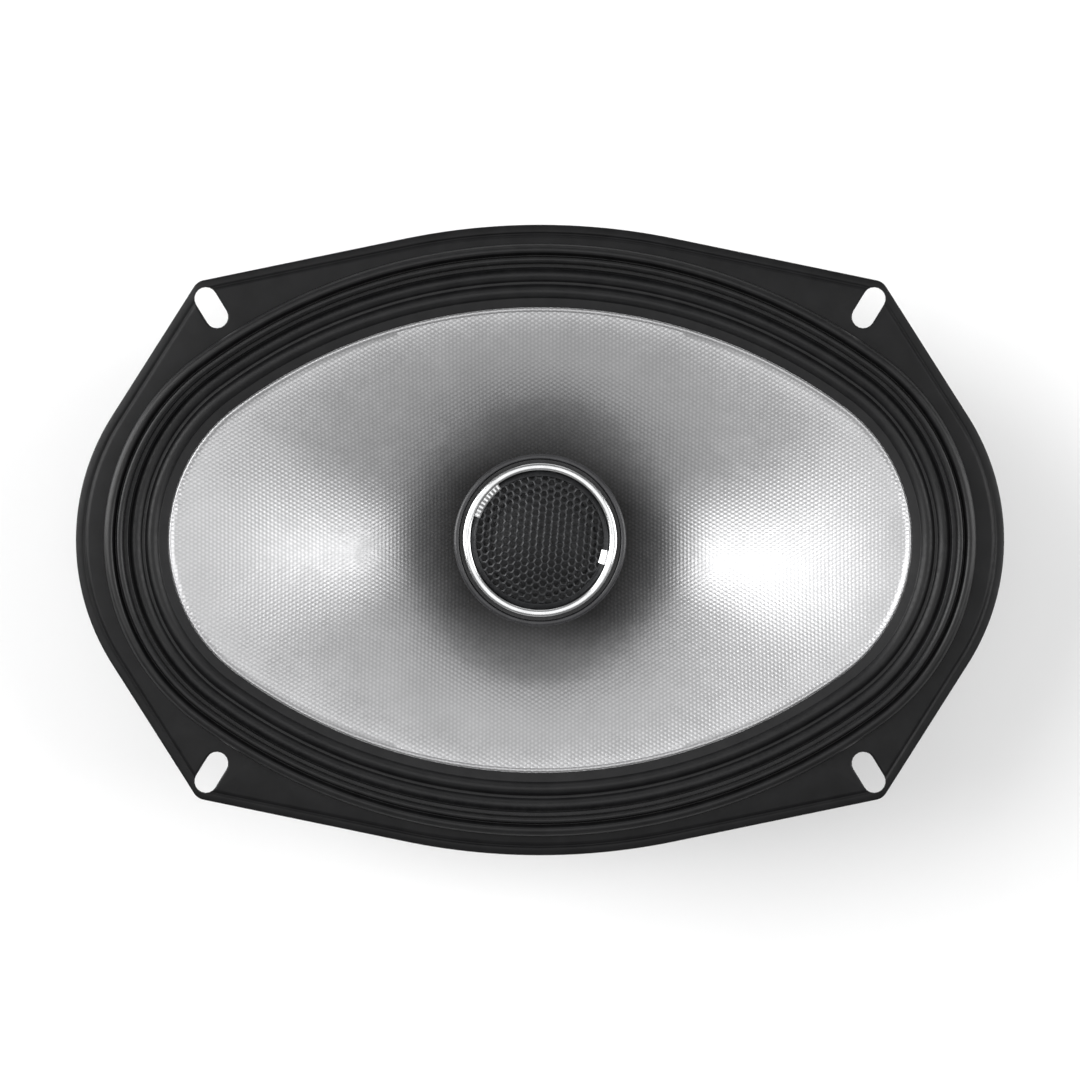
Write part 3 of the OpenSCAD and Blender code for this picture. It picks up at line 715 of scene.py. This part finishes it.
def make_basket():
    """Pressed basket: flange, skirt, bowl, spider shelf and foot in one closed ring."""
    points, normals = flange_outline()
    polar = np.arctan2(points[:, 1], points[:, 0])

    def inset(u, z):
        return level(points - u * normals, z)

    hub = np.stack([np.cos(polar), np.sin(polar)], axis=1)
    corners = [
        (level(rim_at(SKIRT_TOP_OUT, polar), 0), 1.2),
        (inset(0, 0), 0.25), (inset(0, 1.15), 0.5),
        (inset(1.9, 1.32), 0.35), (inset(2.4, 0.95), 0.3), (inset(3.0, 1.5), 0.5),
        (level(rim_at(OPENING_OUT, polar), FLANGE_T), 0.3),
        (level(rim_at(OPENING_OUT, polar), 0.1), 0.2),
        (level(rim_at(SKIRT_TOP_OUT - WALL, polar), -0.3), 0.4),
        (bowl_at(WALL, SKIRT_LOW_Z, polar), 1.5),
        (bowl_at(WALL, SHELF_Z, polar), 0.4),
        (level(SHELF_R * hub, SHELF_Z), 0.3),
        (level(SHELF_R * hub, SHELF_Z - SHELF_T), 0.3),
        (bowl_at(WALL, SHELF_Z - SHELF_T, polar), 0.3),
        (bowl_at(WALL, BOWL_LOW_Z, polar), 0.8),
        (level(FOOT_HOLE_R * hub, BOWL_LOW_Z), 0.3),
        (level(FOOT_HOLE_R * hub, FOOT_Z), 0.3),
        (bowl_at(0, BOWL_LOW_Z, polar) - (0, 0, BOWL_LOW_Z - FOOT_Z), 0.4),
        (bowl_at(0, BOWL_LOW_Z, polar), 1.2),
        (bowl_at(0, SKIRT_LOW_Z, polar), 2.0),
    ]
    loops = np.stack([c for c, _ in corners], axis=1)
    basket = swept("basket_frame", soften(loops, [r for _, r in corners]))
    cut(basket, slot_cutters() + window_cutters())
    dress(basket, "basket_paint", "chassis", "basket", 32)


def make_gasket():
    """Moulded gasket with a groove between its two ridges."""
    seat = FLANGE_T + SKIN
    groove = GASKET_GROOVE
    profile = [(GASKET_IN, seat), (GASKET_OUT, seat), (GASKET_OUT, GASKET_TOP - 0.9),
               (GASKET_OUT - 0.9, GASKET_TOP), (groove + 0.7, GASKET_TOP), (groove + 0.1, seat + 1.1),
               (groove - 0.1, seat + 1.1), (groove - 0.5, GASKET_TOP - 0.1),
               (GASKET_IN + 0.5, GASKET_TOP - 0.1), (GASKET_IN, GASKET_TOP - 0.7)]
    radii = [0.2, 0.2, 0.5, 1.0, 0.7, 0.1, 0.1, 0.5, 0.5, 0.3]
    gasket = around_rim("gasket_ring", profile, radii, steps=5)
    dress(gasket, "gasket_rubber", "chassis", "front_gasket", 40)


def roll(at, radius, start, stop, steps):
    """Arc of one of the surround's half rolls, from and to angles in degrees."""
    turn = np.radians(np.linspace(start, stop, steps))
    return [(at - radius * math.cos(t), CONE_RIM_Z + radius * math.sin(t)) for t in turn]


def make_surround():
    """Double half-roll surround, from the cone's lip up over the opening's step to the flange."""
    lip_z, seat = CONE_RIM_Z + SKIN, FLANGE_T + SKIN
    profile = ([(0.15, CONE_RIM_Z + 0.02), (0.15, lip_z)]
               + roll(ROLL_1, ROLL_R, 24, 156, 14) + roll(ROLL_2, ROLL_R, 24, 130, 12)
               + [(STEP_OUT - SKIN, lip_z + 0.7), (STEP_OUT - SKIN, seat), (SURROUND_OUT, seat),
                  (SURROUND_OUT, FLANGE_T), (STEP_OUT, FLANGE_T), (STEP_OUT, CONE_RIM_Z + 0.02)]
               + roll(ROLL_2, ROLL_R - SKIN, 178, 2, 12) + roll(ROLL_1, ROLL_R - SKIN, 178, 2, 12))
    radii = [0.2 if abs(z - CONE_RIM_Z) < 0.1 or d > STEP_OUT - 1 else 0.12 for d, z in profile]
    surround = around_rim("rubber_surround", profile, radii, steps=2)

    def weight(points):
        polar = np.arctan2(points[:, 1], points[:, 0])
        inner = from_centre(rim_at(LIP_OUT, polar))
        outer = from_centre(rim_at(STEP_OUT - SKIN, polar))
        return (outer - from_centre(points)) / (outer - inner)

    dress_bending(surround, "surround_rubber", "surround", weight)


def make_cone():
    """Cone with a bead at its rim, a flat lip outside it and a sleeve at its neck."""
    steps = 44
    polar = np.linspace(0, 2 * math.pi, ROUND, endpoint=False)
    hub = np.stack([np.cos(polar), np.sin(polar)], axis=1)
    edge = rim_at(0, polar)
    neck_z = CONE_RIM_Z - CONE_DEPTH
    dish = []
    for k in range(steps + 1):
        s = k / steps
        dish.append(level(NECK_R * hub + s * (edge - NECK_R * hub),
                          neck_z + CONE_DEPTH * (1 - (1 - s) ** CONE_POWER)))
    bead = [level(rim_at(out, polar), CONE_RIM_Z + height)
            for out, height in ((-0.95, 0.04), (-0.7, 0.42), (-0.35, 0.48), (-0.05, 0.3), (0.05, 0))]
    down = np.array([0, 0, CONE_T])
    lip = level(rim_at(LIP_OUT, polar), CONE_RIM_Z)
    back = [points - down for points in dish[-2:0:-1]]
    low = neck_z - SLEEVE_H
    loops = ([level(SLEEVE_R * hub, neck_z)] + dish[:-1] + bead
             + [lip, lip - down, level(edge, CONE_RIM_Z - CONE_T)] + back
             + [level((NECK_R + CONE_T) * hub, neck_z - CONE_T), level((NECK_R + CONE_T) * hub, low),
                level(SLEEVE_R * hub, low)])
    cone = swept("woven_cone", np.stack(loops, axis=1))
    dress(cone, "cone_weave", "cone", "cone", 50)


def make_spider():
    """Corrugated cloth between the former and the basket's shelf."""
    collar_r, waves_in, waves_out, glued_r = 17.65, 19.15, 44.6, 48.0
    free_in, free_out = 20.0, 43.5
    wave, waves, cloth = 1.3, 5, 0.5
    mid_z = SHELF_Z + wave
    steps = waves * 22
    line = [(collar_r, SHELF_Z)]
    for i in range(steps + 1):
        s = i / steps
        z = mid_z - wave * math.cos(2 * math.pi * waves * s)
        line.append((waves_in + s * (waves_out - waves_in), z))
    line.append((glued_r, SHELF_Z))
    profile = line + [(r, z + cloth) for r, z in line[::-1]]
    spider = revolved("spider_disc", profile, count=240)
    dress_bending(spider, "spider_cloth", "spider",
                  lambda points: (free_out - from_centre(points)) / (free_out - free_in))


# ---------------- motor

def make_top_plate():
    top = revolved("motor_top_plate", [(GAP_R, MAGNET_TOP_Z), (PLATE_R, MAGNET_TOP_Z),
                   (PLATE_R, FOOT_Z), (GAP_R, FOOT_Z)], [0.3, 0.7, 1.8, 0.3], steps=5)
    dress(top, "zinc_steel", "chassis", "top_plate")


def make_magnet():
    magnet = revolved("ferrite_ring", [(MAGNET_BORE_R, MAGNET_LOW_Z), (MAGNET_R, MAGNET_LOW_Z),
                      (MAGNET_R, MAGNET_TOP_Z), (MAGNET_BORE_R, MAGNET_TOP_Z)],
                      [0.5, 2.2, 1.3, 0.5], steps=5)
    dress(magnet, "ferrite", "chassis", "ferrite_magnet")


def make_back_plate():
    """Back plate with a recess round the screw and a shallow groove round that."""
    groove = [(GROOVE_R + i * GROOVE_SIDE, BACK_Z + depth)
              for i, depth in enumerate((0, GROOVE, GROOVE, 0))]
    back = revolved("motor_back_plate", [
        (SCREW_BORE_R, BACK_Z + RECESS), (RECESS_R, BACK_Z + RECESS), (RECESS_R, BACK_Z)] + groove
        + [(PLATE_R, BACK_Z), (PLATE_R, MAGNET_LOW_Z), (SCREW_BORE_R, MAGNET_LOW_Z)],
        [0, 0.2, 0.4, 0.2, 0.2, 0.2, 0.2, 1.6, 0.9, 0], steps=5)
    dress(back, "zinc_steel", "chassis", "back_plate")


def make_screw():
    """Pan head with a cross recess in the back plate, on its long shank."""
    low, tip_z, chamfer = BACK_Z + 0.2, -17.2, 0.5
    head_r, head_h, shank_r, arm, arm_half = 4.2, 2.2, 2.0, 2.0, 0.4
    head = revolved("screw_head", [(0, low), (head_r - 1.1, low), (head_r, low + 1.0),
                    (head_r, low + head_h), (0, low + head_h)], [0, 0.8, 0.6, 0.1, 0], count=64)
    arms = []
    for turn in (0, 90):
        tool = prism("recess", [(-arm, -arm_half), (arm, -arm_half), (arm, arm_half), (-arm, arm_half)],
                     low - 1, low + 1.2)
        arms.append(moved(tool, Matrix.Rotation(math.radians(turn), 4, "Z")))
    cut(head, arms)
    start = low + head_h - 0.1
    shank = revolved("screw_shank", [(0, start), (shank_r, start), (shank_r, tip_z - chamfer),
                     (shank_r - chamfer, tip_z), (0, tip_z)], count=48)
    screw = joined("mounting_screw_long", [head, shank])
    dress(screw, "zinc_steel", "chassis", "mounting_screw")


# ---------------- tweeter

POD_R, POD_TOP_Z, POD_BASE_Z, POST_R = 22.2, -3.6, -22.5, 11.5
CAVITY_R, CAVITY_Z, POCKET_R, POCKET_Z = 17.4, -17.0, 6.0, -20.0
RING_IN_R, RING_OUT_R, RING_TOP_Z = 17.9, 19.8, -3.0
FACEPLATE_Z, DIAPHRAGM_Z = -9.2, -7.2


def make_pod():
    """Pod with a rounded underside, a groove outside the chrome ring and the cavity for its motor."""
    side = [(POST_R + (POD_R - 1.3 - POST_R) * math.sin(t), POD_BASE_Z + 9 * (1 - math.cos(t)))
            for t in np.linspace(0, math.pi / 2, 14)]
    gap = RING_OUT_R + 1.1
    profile = ([(SCREW_BORE_R, POD_BASE_Z)] + side
               + [(POD_R, POD_TOP_Z - 1.6), (POD_R, POD_TOP_Z), (gap, POD_TOP_Z),
                  (gap, FACEPLATE_Z + 1), (RING_OUT_R + 0.05, FACEPLATE_Z + 1),
                  (RING_OUT_R + 0.05, FACEPLATE_Z), (CAVITY_R, FACEPLATE_Z), (CAVITY_R, CAVITY_Z),
                  (POCKET_R, CAVITY_Z), (POCKET_R, POCKET_Z), (SCREW_BORE_R, POCKET_Z)])
    radii = [0] + [0.3] * len(side) + [0.3, 0.7, 0.25] + [0.1] * 8
    pod = revolved("tweeter_pod", profile, radii, count=192)
    dress(pod, "pod_plastic", "chassis", "tweeter_housing", 50)


# Each tab of the trim ring: from and to angles in degrees, inner radius, ribs on its front
RING_TABS = ((127, 160, 16.4, 9), (-21, -9, 16.0, 0))


def make_trim_ring():
    mid = (RING_IN_R + RING_OUT_R) / 2
    half = (RING_OUT_R - RING_IN_R) / 2
    low = DIAPHRAGM_Z + 0.05
    crown = 0.45
    top = [(mid + half * math.cos(t), RING_TOP_Z - crown + crown * math.sin(t) ** 0.7)
           for t in np.linspace(0, math.pi, 17)]
    ring = revolved("chrome_trim_ring", [(RING_IN_R, low), (RING_OUT_R, low)] + top, count=192)
    tabs = []
    z = RING_TOP_Z - 1.2
    for start, stop, inner, ribs in RING_TABS:
        tabs.append(revolved("ring_tab", [(inner, z - 1.0), (RING_IN_R + 0.3, z - 1.0),
                    (RING_IN_R + 0.3, z), (inner + 0.4, z - 0.15), (inner, z - 0.5)],
                    count=24, arc=(start, stop)))
        for i in range(ribs):
            at = start + (i + 0.5) * (stop - start) / ribs
            tabs.append(revolved("tab_rib", [(inner + 0.25, z - 0.4), (RING_IN_R + 0.2, z - 0.4),
                        (RING_IN_R + 0.2, z + 0.28), (inner + 0.35, z + 0.12)],
                        count=3, arc=(at - 0.8, at + 0.8)))
    ring = joined("chrome_trim_ring", [ring] + tabs)
    dress(ring, "trim_chrome", "chassis", "tweeter_trim_ring", 45)


def dome_z(x, y, rim_r, low_z, rise):
    """Height of a shallow spherical dome over the point x, y."""
    big = (rim_r * rim_r + rise * rise) / (2 * rise)
    return low_z + rise - big + math.sqrt(max(big * big - x * x - y * y, 0))


# Grille: radii of its rim and of its mesh, height where its dome starts, sheet, and how far the
# openings' front edges lie below the dome
GRILLE_R, GRILLE_MESH_R, GRILLE_LOW_Z = RING_IN_R - 0.1, 17.3, DIAPHRAGM_Z + 2
GRILLE_RISE, GRILLE_T, GRILLE_SUNK = 3.0, 0.45, 0.12


def grille_z(x, y):
    return dome_z(x, y, GRILLE_R, GRILLE_LOW_Z, GRILLE_RISE)


def grille_mesh():
    """Hexagonal openings through a shallow steel dome."""
    pitch, margin, tilt = 2.0, 0.2, math.radians(25)
    cell = pitch / math.sqrt(3)
    hole = 0.70 * cell
    points, faces = [], []
    span = int(GRILLE_MESH_R / pitch) + 2
    for row in range(-span, span + 1):
        for col in range(-span, span + 1):
            u, v = (col + row / 2) * pitch, row * pitch * math.sqrt(3) / 2
            if math.hypot(u, v) > GRILLE_MESH_R - margin:
                continue
            first = len(points)
            for radius, depth in ((cell, 0), (hole, GRILLE_SUNK), (cell, GRILLE_T), (hole, GRILLE_T)):
                for k in range(6):
                    t = math.pi / 6 + k * math.pi / 3
                    a, b = u + radius * math.cos(t), v + radius * math.sin(t)
                    x = a * math.cos(tilt) - b * math.sin(tilt)
                    y = a * math.sin(tilt) + b * math.cos(tilt)
                    points.append((x, y, grille_z(x, y) - depth))
            for k in range(6):
                n = (k + 1) % 6
                faces.append((first + k, first + n, first + 6 + n, first + 6 + k))
                faces.append((first + 12 + n, first + 12 + k, first + 18 + k, first + 18 + n))
                faces.append((first + 6 + k, first + 6 + n, first + 18 + n, first + 18 + k))
    mesh = mesh_object("grille_mesh", points, faces)
    bm = bmesh.new()
    bm.from_mesh(mesh.data)
    bmesh.ops.remove_doubles(bm, verts=bm.verts, dist=2e-5)
    bmesh.ops.bridge_loops(bm, edges=[e for e in bm.edges if len(e.link_faces) == 1])
    bmesh.ops.recalc_face_normals(bm, faces=bm.faces)
    bm.to_mesh(mesh.data)
    bm.free()
    return mesh


def make_grille():
    """The mesh and its rolled rim."""
    inner = GRILLE_MESH_R - 1.0
    rim = [(inner, grille_z(inner, 0) - GRILLE_T), (GRILLE_R, DIAPHRAGM_Z + 0.05),
           (GRILLE_R, GRILLE_LOW_Z + 0.3), (inner + 0.2, grille_z(inner, 0) + GRILLE_SUNK)]
    mesh = grille_mesh()
    grille = joined("tweeter_mesh", [mesh, revolved("grille_rim", rim, [0.1, 0.1, 0.3, 0.1], count=128)])
    dress(grille, "grille_steel", "chassis", "tweeter_grille", 35)


DOME_R = 12.4


def make_tweeter_dome():
    rise, silk = 3.2, 0.3
    up = [(r, dome_z(r, 0, DOME_R, DIAPHRAGM_Z + 0.1, rise)) for r in np.linspace(0, DOME_R, 20)]
    dome = revolved("silk_dome", up + [(r, z - silk) for r, z in up[::-1][1:]], count=128)
    dress(dome, "dome_silk", "tweeter_diaphragm", "tweeter_dome", 60)


def make_tweeter_surround():
    """Arched silk edge between the dome and the faceplate."""
    inner, outer = DOME_R + 0.05, 14.6
    mid, half = (inner + outer) / 2, (outer - inner) / 2
    arch = [(mid - half * 0.75 * math.cos(t), DIAPHRAGM_Z + 0.25 + 0.55 * math.sin(t))
            for t in np.linspace(0.2, math.pi - 0.2, 10)]
    edge = revolved("silk_edge", [(inner, DIAPHRAGM_Z), (inner, DIAPHRAGM_Z + 0.25)] + arch
                    + [(outer, DIAPHRAGM_Z + 0.2), (outer, DIAPHRAGM_Z)], count=128)
    free_in, free_out = inner + 0.2, outer - 0.4
    dress_bending(edge, "dome_silk", "tweeter_surround",
                  lambda points: (free_out - from_centre(points)) / (free_out - free_in))


# ---------------- terminals, capacitor, wires

TERMINAL = Matrix.Translation((-66.6 * MM, -58.2 * MM, 0)) @ Matrix.Rotation(math.radians(244.2), 4, "Z")
TERMINAL_LOW_Z, TERMINAL_PITCH = -20.0, 6.4
BLADE_OUT, BLADE_T, BLADE_INNER, BLADE_OUTER, BLADE_LENGTH = -2.4, 0.8, 1.3, 2.05, 8.0


def make_terminal_block():
    half_length = 7
    outline = [(-0.4, -16.1), (1.0, -16.1), (1.0, -18.1), (0, TERMINAL_LOW_Z), (-4.5, TERMINAL_LOW_Z)]
    block = prism("terminal_body", outline, -half_length, half_length,
                  radii=[0.3, 0.3, 0.4, 0.4, 0.2], edge=0.25)
    moved(block, TERMINAL @ Matrix.Rotation(math.pi / 2, 4, "X"))
    dress(block, "terminal_plastic", "chassis", "terminal_block")


def make_blade(node, side, width):
    """Spade blade with a hole near its tip, upright on a foot that is riveted under the block."""
    w, low, tip, hole_r = width / 2, TERMINAL_LOW_Z - BLADE_LENGTH, 0.8, 0.7
    outline = [(-w, TERMINAL_LOW_Z), (-w, low + tip), (-w + tip * 0.7, low), (w - tip * 0.7, low),
               (w, low + tip), (w, TERMINAL_LOW_Z)]
    blade = prism("blade", outline, 0, BLADE_T, radii=[0.1] + [0.3] * 4 + [0.1], edge=0.12)
    turn = np.linspace(0, 2 * math.pi, 20, endpoint=False)
    hole = np.stack([hole_r * np.cos(turn), low + 3.2 + hole_r * np.sin(turn)], axis=1)
    cut(blade, [capped("hole", np.array([level(hole, -1), level(hole, 2)]))])
    upright = Matrix.Rotation(math.pi / 2, 4, "Z") @ Matrix.Rotation(math.pi / 2, 4, "X")
    across = side * TERMINAL_PITCH / 2 * MM
    inner = BLADE_OUT + BLADE_OUTER - BLADE_T
    moved(blade, Matrix.Translation((inner * MM, across, 0)) @ upright)
    foot = prism("foot", [(-BLADE_INNER, -w), (BLADE_OUTER - 0.1, -w), (BLADE_OUTER - 0.1, w),
                 (-BLADE_INNER, w)], TERMINAL_LOW_Z - BLADE_T, TERMINAL_LOW_Z,
                 radii=[0.3, 0.1, 0.1, 0.3], edge=0.1)
    moved(foot, Matrix.Translation((BLADE_OUT * MM, across, 0)))
    moved(blade, TERMINAL)
    moved(foot, TERMINAL)
    dress(joined(node + "_blade", [blade, foot]), "terminal_tin", "chassis", node)


CAPACITOR = (Matrix.Translation((-47.5 * MM, -38.5 * MM, -48.3 * MM))
             @ Matrix.Rotation(math.radians(-46.8), 4, "Z") @ Matrix.Rotation(math.pi / 2, 4, "Y"))


CAPACITOR_R, CAPACITOR_NEAR, CAPACITOR_FAR, RESIN_DEPTH = 7.2, 11.0, -11.0, 2.6


def make_capacitor_body():
    """Sleeved can with a waist near its open end."""
    r, far, near = CAPACITOR_R, CAPACITOR_FAR, CAPACITOR_NEAR
    body = revolved("capacitor_can", [
        (0, far), (r - 1.2, far), (r, far + 1.4), (r, near - 4.4), (r - 0.35, near - 3.9),
        (r - 0.35, near - 3.5), (r, near - 3.0), (r, near - 0.7), (r - 0.7, near),
        (r - 1.0, near - 0.1), (r - 1.0, near - RESIN_DEPTH), (0, near - RESIN_DEPTH)],
        [0, 1.2, 1.2, 0.4, 0.2, 0.2, 0.4, 0.5, 0.3, 0.2, 0, 0], count=96)
    moved(body, CAPACITOR)
    dress(body, "capacitor_sleeve", "chassis", "capacitor_body", 50)


def make_capacitor_seal():
    """Resin that fills the can's open end and swells out a little."""
    edge_r, edge_z, swell = 6.15, CAPACITOR_NEAR - 0.95, 0.45
    low = CAPACITOR_NEAR - RESIN_DEPTH
    front = [(r, edge_z + swell * (1 - (r / edge_r) ** 2)) for r in np.linspace(edge_r, 0, 12)]
    seal = revolved("resin_end", [(0, low), (edge_r, low)] + front, count=96)
    moved(seal, CAPACITOR)
    dress(seal, "capacitor_resin", "chassis", "capacitor_seal", 60)


def make_capacitor_clip():
    inner, outer, half = CAPACITOR_R + 0.05, CAPACITOR_R + 1.0, 2.5
    band = revolved("capacitor_band", [(inner, -half), (outer, -half), (outer, half), (inner, half)],
                    [0.1, 0.35, 0.35, 0.1], count=96)
    moved(band, CAPACITOR)
    dress(band, "clip_plastic", "chassis", "capacitor_clip")


def make_capacitor_wires():
    runs = [[(-38.7, -45, -46.4), (-38, -46.8, -45), (-42, -51.5, -38), (-54, -58, -32),
             (-61, -60.4, -29), (-63.3, -59.9, -27.2)],
            [(-38.7, -45, -50.4), (-36.4, -47.8, -51), (-33, -51, -49), (-24, -50.5, -44),
             (-20, -45.6, -43.6)]]
    wires = [capped("lead", tube_loops(run, 0.4)) for run in runs]
    dress(joined("capacitor_wires", wires), "tinned_wire", "chassis", "capacitor_leads", 60)


def make_tinsel():
    """Two braids, each from the cone's back to the terminals."""
    runs = [[(-43, -27, -15.6), (-47, -31, -20), (-55, -41, -23.4), (-61, -49, -19.4)],
            [(-36, -31, -15.6), (-41, -35.5, -20), (-49, -46, -23.4), (-54, -54.5, -19.4)]]
    free = 20.0
    strands = dict(sides=20, steps=40, twist=0.45, lobes=6, lobe_depth=0.25)
    braids = [capped("braid", tube_loops(run, 0.55, **strands)) for run in runs]

    def weight(points):
        """Falls from the nearer braid's end at the cone, over its free reach."""
        reach = [from_centre(points[:, :2] - np.array(run[0][:2])) for run in runs]
        return 1 - np.minimum(*reach) / free

    dress_bending(joined("tinsel_braids", braids), "tinsel_braid", "tinsel_leads", weight, 80)


# ---------------- carried-over CAD nodes

CAD_PAINTS = {
    "voice_coil_former": "former_film", "voice_coil": "copper_winding", "dust_ring": "felt",
    "pole_piece": "zinc_steel", "basket_rivets": "zinc_steel", "tweeter_post": "post_plastic",
    "mounting_nut": "zinc_steel", "tweeter_faceplate": "post_plastic", "tweeter_yoke": "zinc_steel",
    "tweeter_magnet": "neodymium", "tweeter_pole_disc": "zinc_steel",
    "tweeter_voice_coil": "copper_winding", "terminal_rivets": "zinc_steel",
    "tweeter_leads": "lead_sleeve",
}


def dress_cad():
    for node, paint in CAD_PAINTS.items():
        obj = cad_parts[node]
        for slot in obj.material_slots:
            slot.material = PAINTS[paint]


# ---------------- stage

def make_floor():
    size, z = 6.0, cad_low.z
    mesh = bpy.data.meshes.new("floor")
    mesh.from_pydata([(-size, -size, z), (size, -size, z), (size, size, z), (-size, size, z)], [],
                     [(0, 1, 2, 3)])
    floor = bpy.data.objects.new("floor", mesh)
    bpy.context.scene.collection.objects.link(floor)
    mesh.materials.append(PAINTS["floor_paper_and_glow"])


def softbox(name, place, width, height, watts):
    """A rectangular area light at a place in metres, facing the middle of the object."""
    light = bpy.data.lights.new(name, "AREA")
    light.shape, light.size, light.size_y, light.energy = "RECTANGLE", width, height, watts
    lamp = bpy.data.objects.new(name, light)
    lamp.location = place
    bpy.context.scene.collection.objects.link(lamp)
    away = lamp.location - Vector((0, 0, -0.02))
    lamp.rotation_mode = "QUATERNION"
    lamp.rotation_quaternion = away.to_track_quat("Z", "Y")


def make_light():
    """Five soft boxes in a dim white room, which the camera itself sees as plain white."""
    world = bpy.data.worlds.new("studio")
    world.use_nodes = True
    tree = world.node_tree
    backdrop = tree.nodes["Background"]
    backdrop.inputs["Color"].default_value = (1, 1, 1, 1)
    seen = tree.nodes.new("ShaderNodeLightPath").outputs["Is Camera Ray"]
    strength = tree.nodes.new("ShaderNodeMapRange")
    strength.inputs["To Min"].default_value = 0.30
    strength.inputs["To Max"].default_value = 1.0
    tree.links.new(seen, strength.inputs["Value"])
    tree.links.new(strength.outputs[0], backdrop.inputs["Strength"])
    bpy.context.scene.world = world
    softbox("left_box", (-1.3, 0.35, 0.85), 0.9, 2.2, 34)
    softbox("right_box", (1.4, 0.15, 0.9), 0.8, 2.0, 21)
    softbox("far_box", (0.1, 1.6, 1.0), 1.2, 0.6, 2.5)
    softbox("near_box", (-0.2, -1.6, 1.0), 1.2, 0.6, 1)
    softbox("top_box", (0, 0, 1.7), 0.9, 0.9, 3.5)
    bpy.context.scene.view_settings.view_transform = "Standard"


def make_camera():
    """Face-on, as the upright speaker is seen: straight down the acoustic axis, long axis across."""
    lens, sensor, across = 85.0, 36.0, 0.276
    data = bpy.data.cameras.new("camera")
    data.lens, data.sensor_width = lens, sensor
    camera = bpy.data.objects.new("camera", data)
    camera.location = (0, 0, across * lens / sensor)
    bpy.context.scene.collection.objects.link(camera)
    bpy.context.scene.camera = camera


make_basket()
make_gasket()
make_surround()
make_cone()
make_spider()
make_top_plate()
make_magnet()
make_back_plate()
make_screw()
make_pod()
make_trim_ring()
make_grille()
make_tweeter_dome()
make_tweeter_surround()
make_terminal_block()
make_blade("positive_terminal", -1, 4.8)
make_blade("negative_terminal", 1, 2.8)
make_capacitor_body()
make_capacitor_seal()
make_capacitor_clip()
make_capacitor_wires()
make_tinsel()
dress_cad()
make_floor()
make_light()
make_camera()
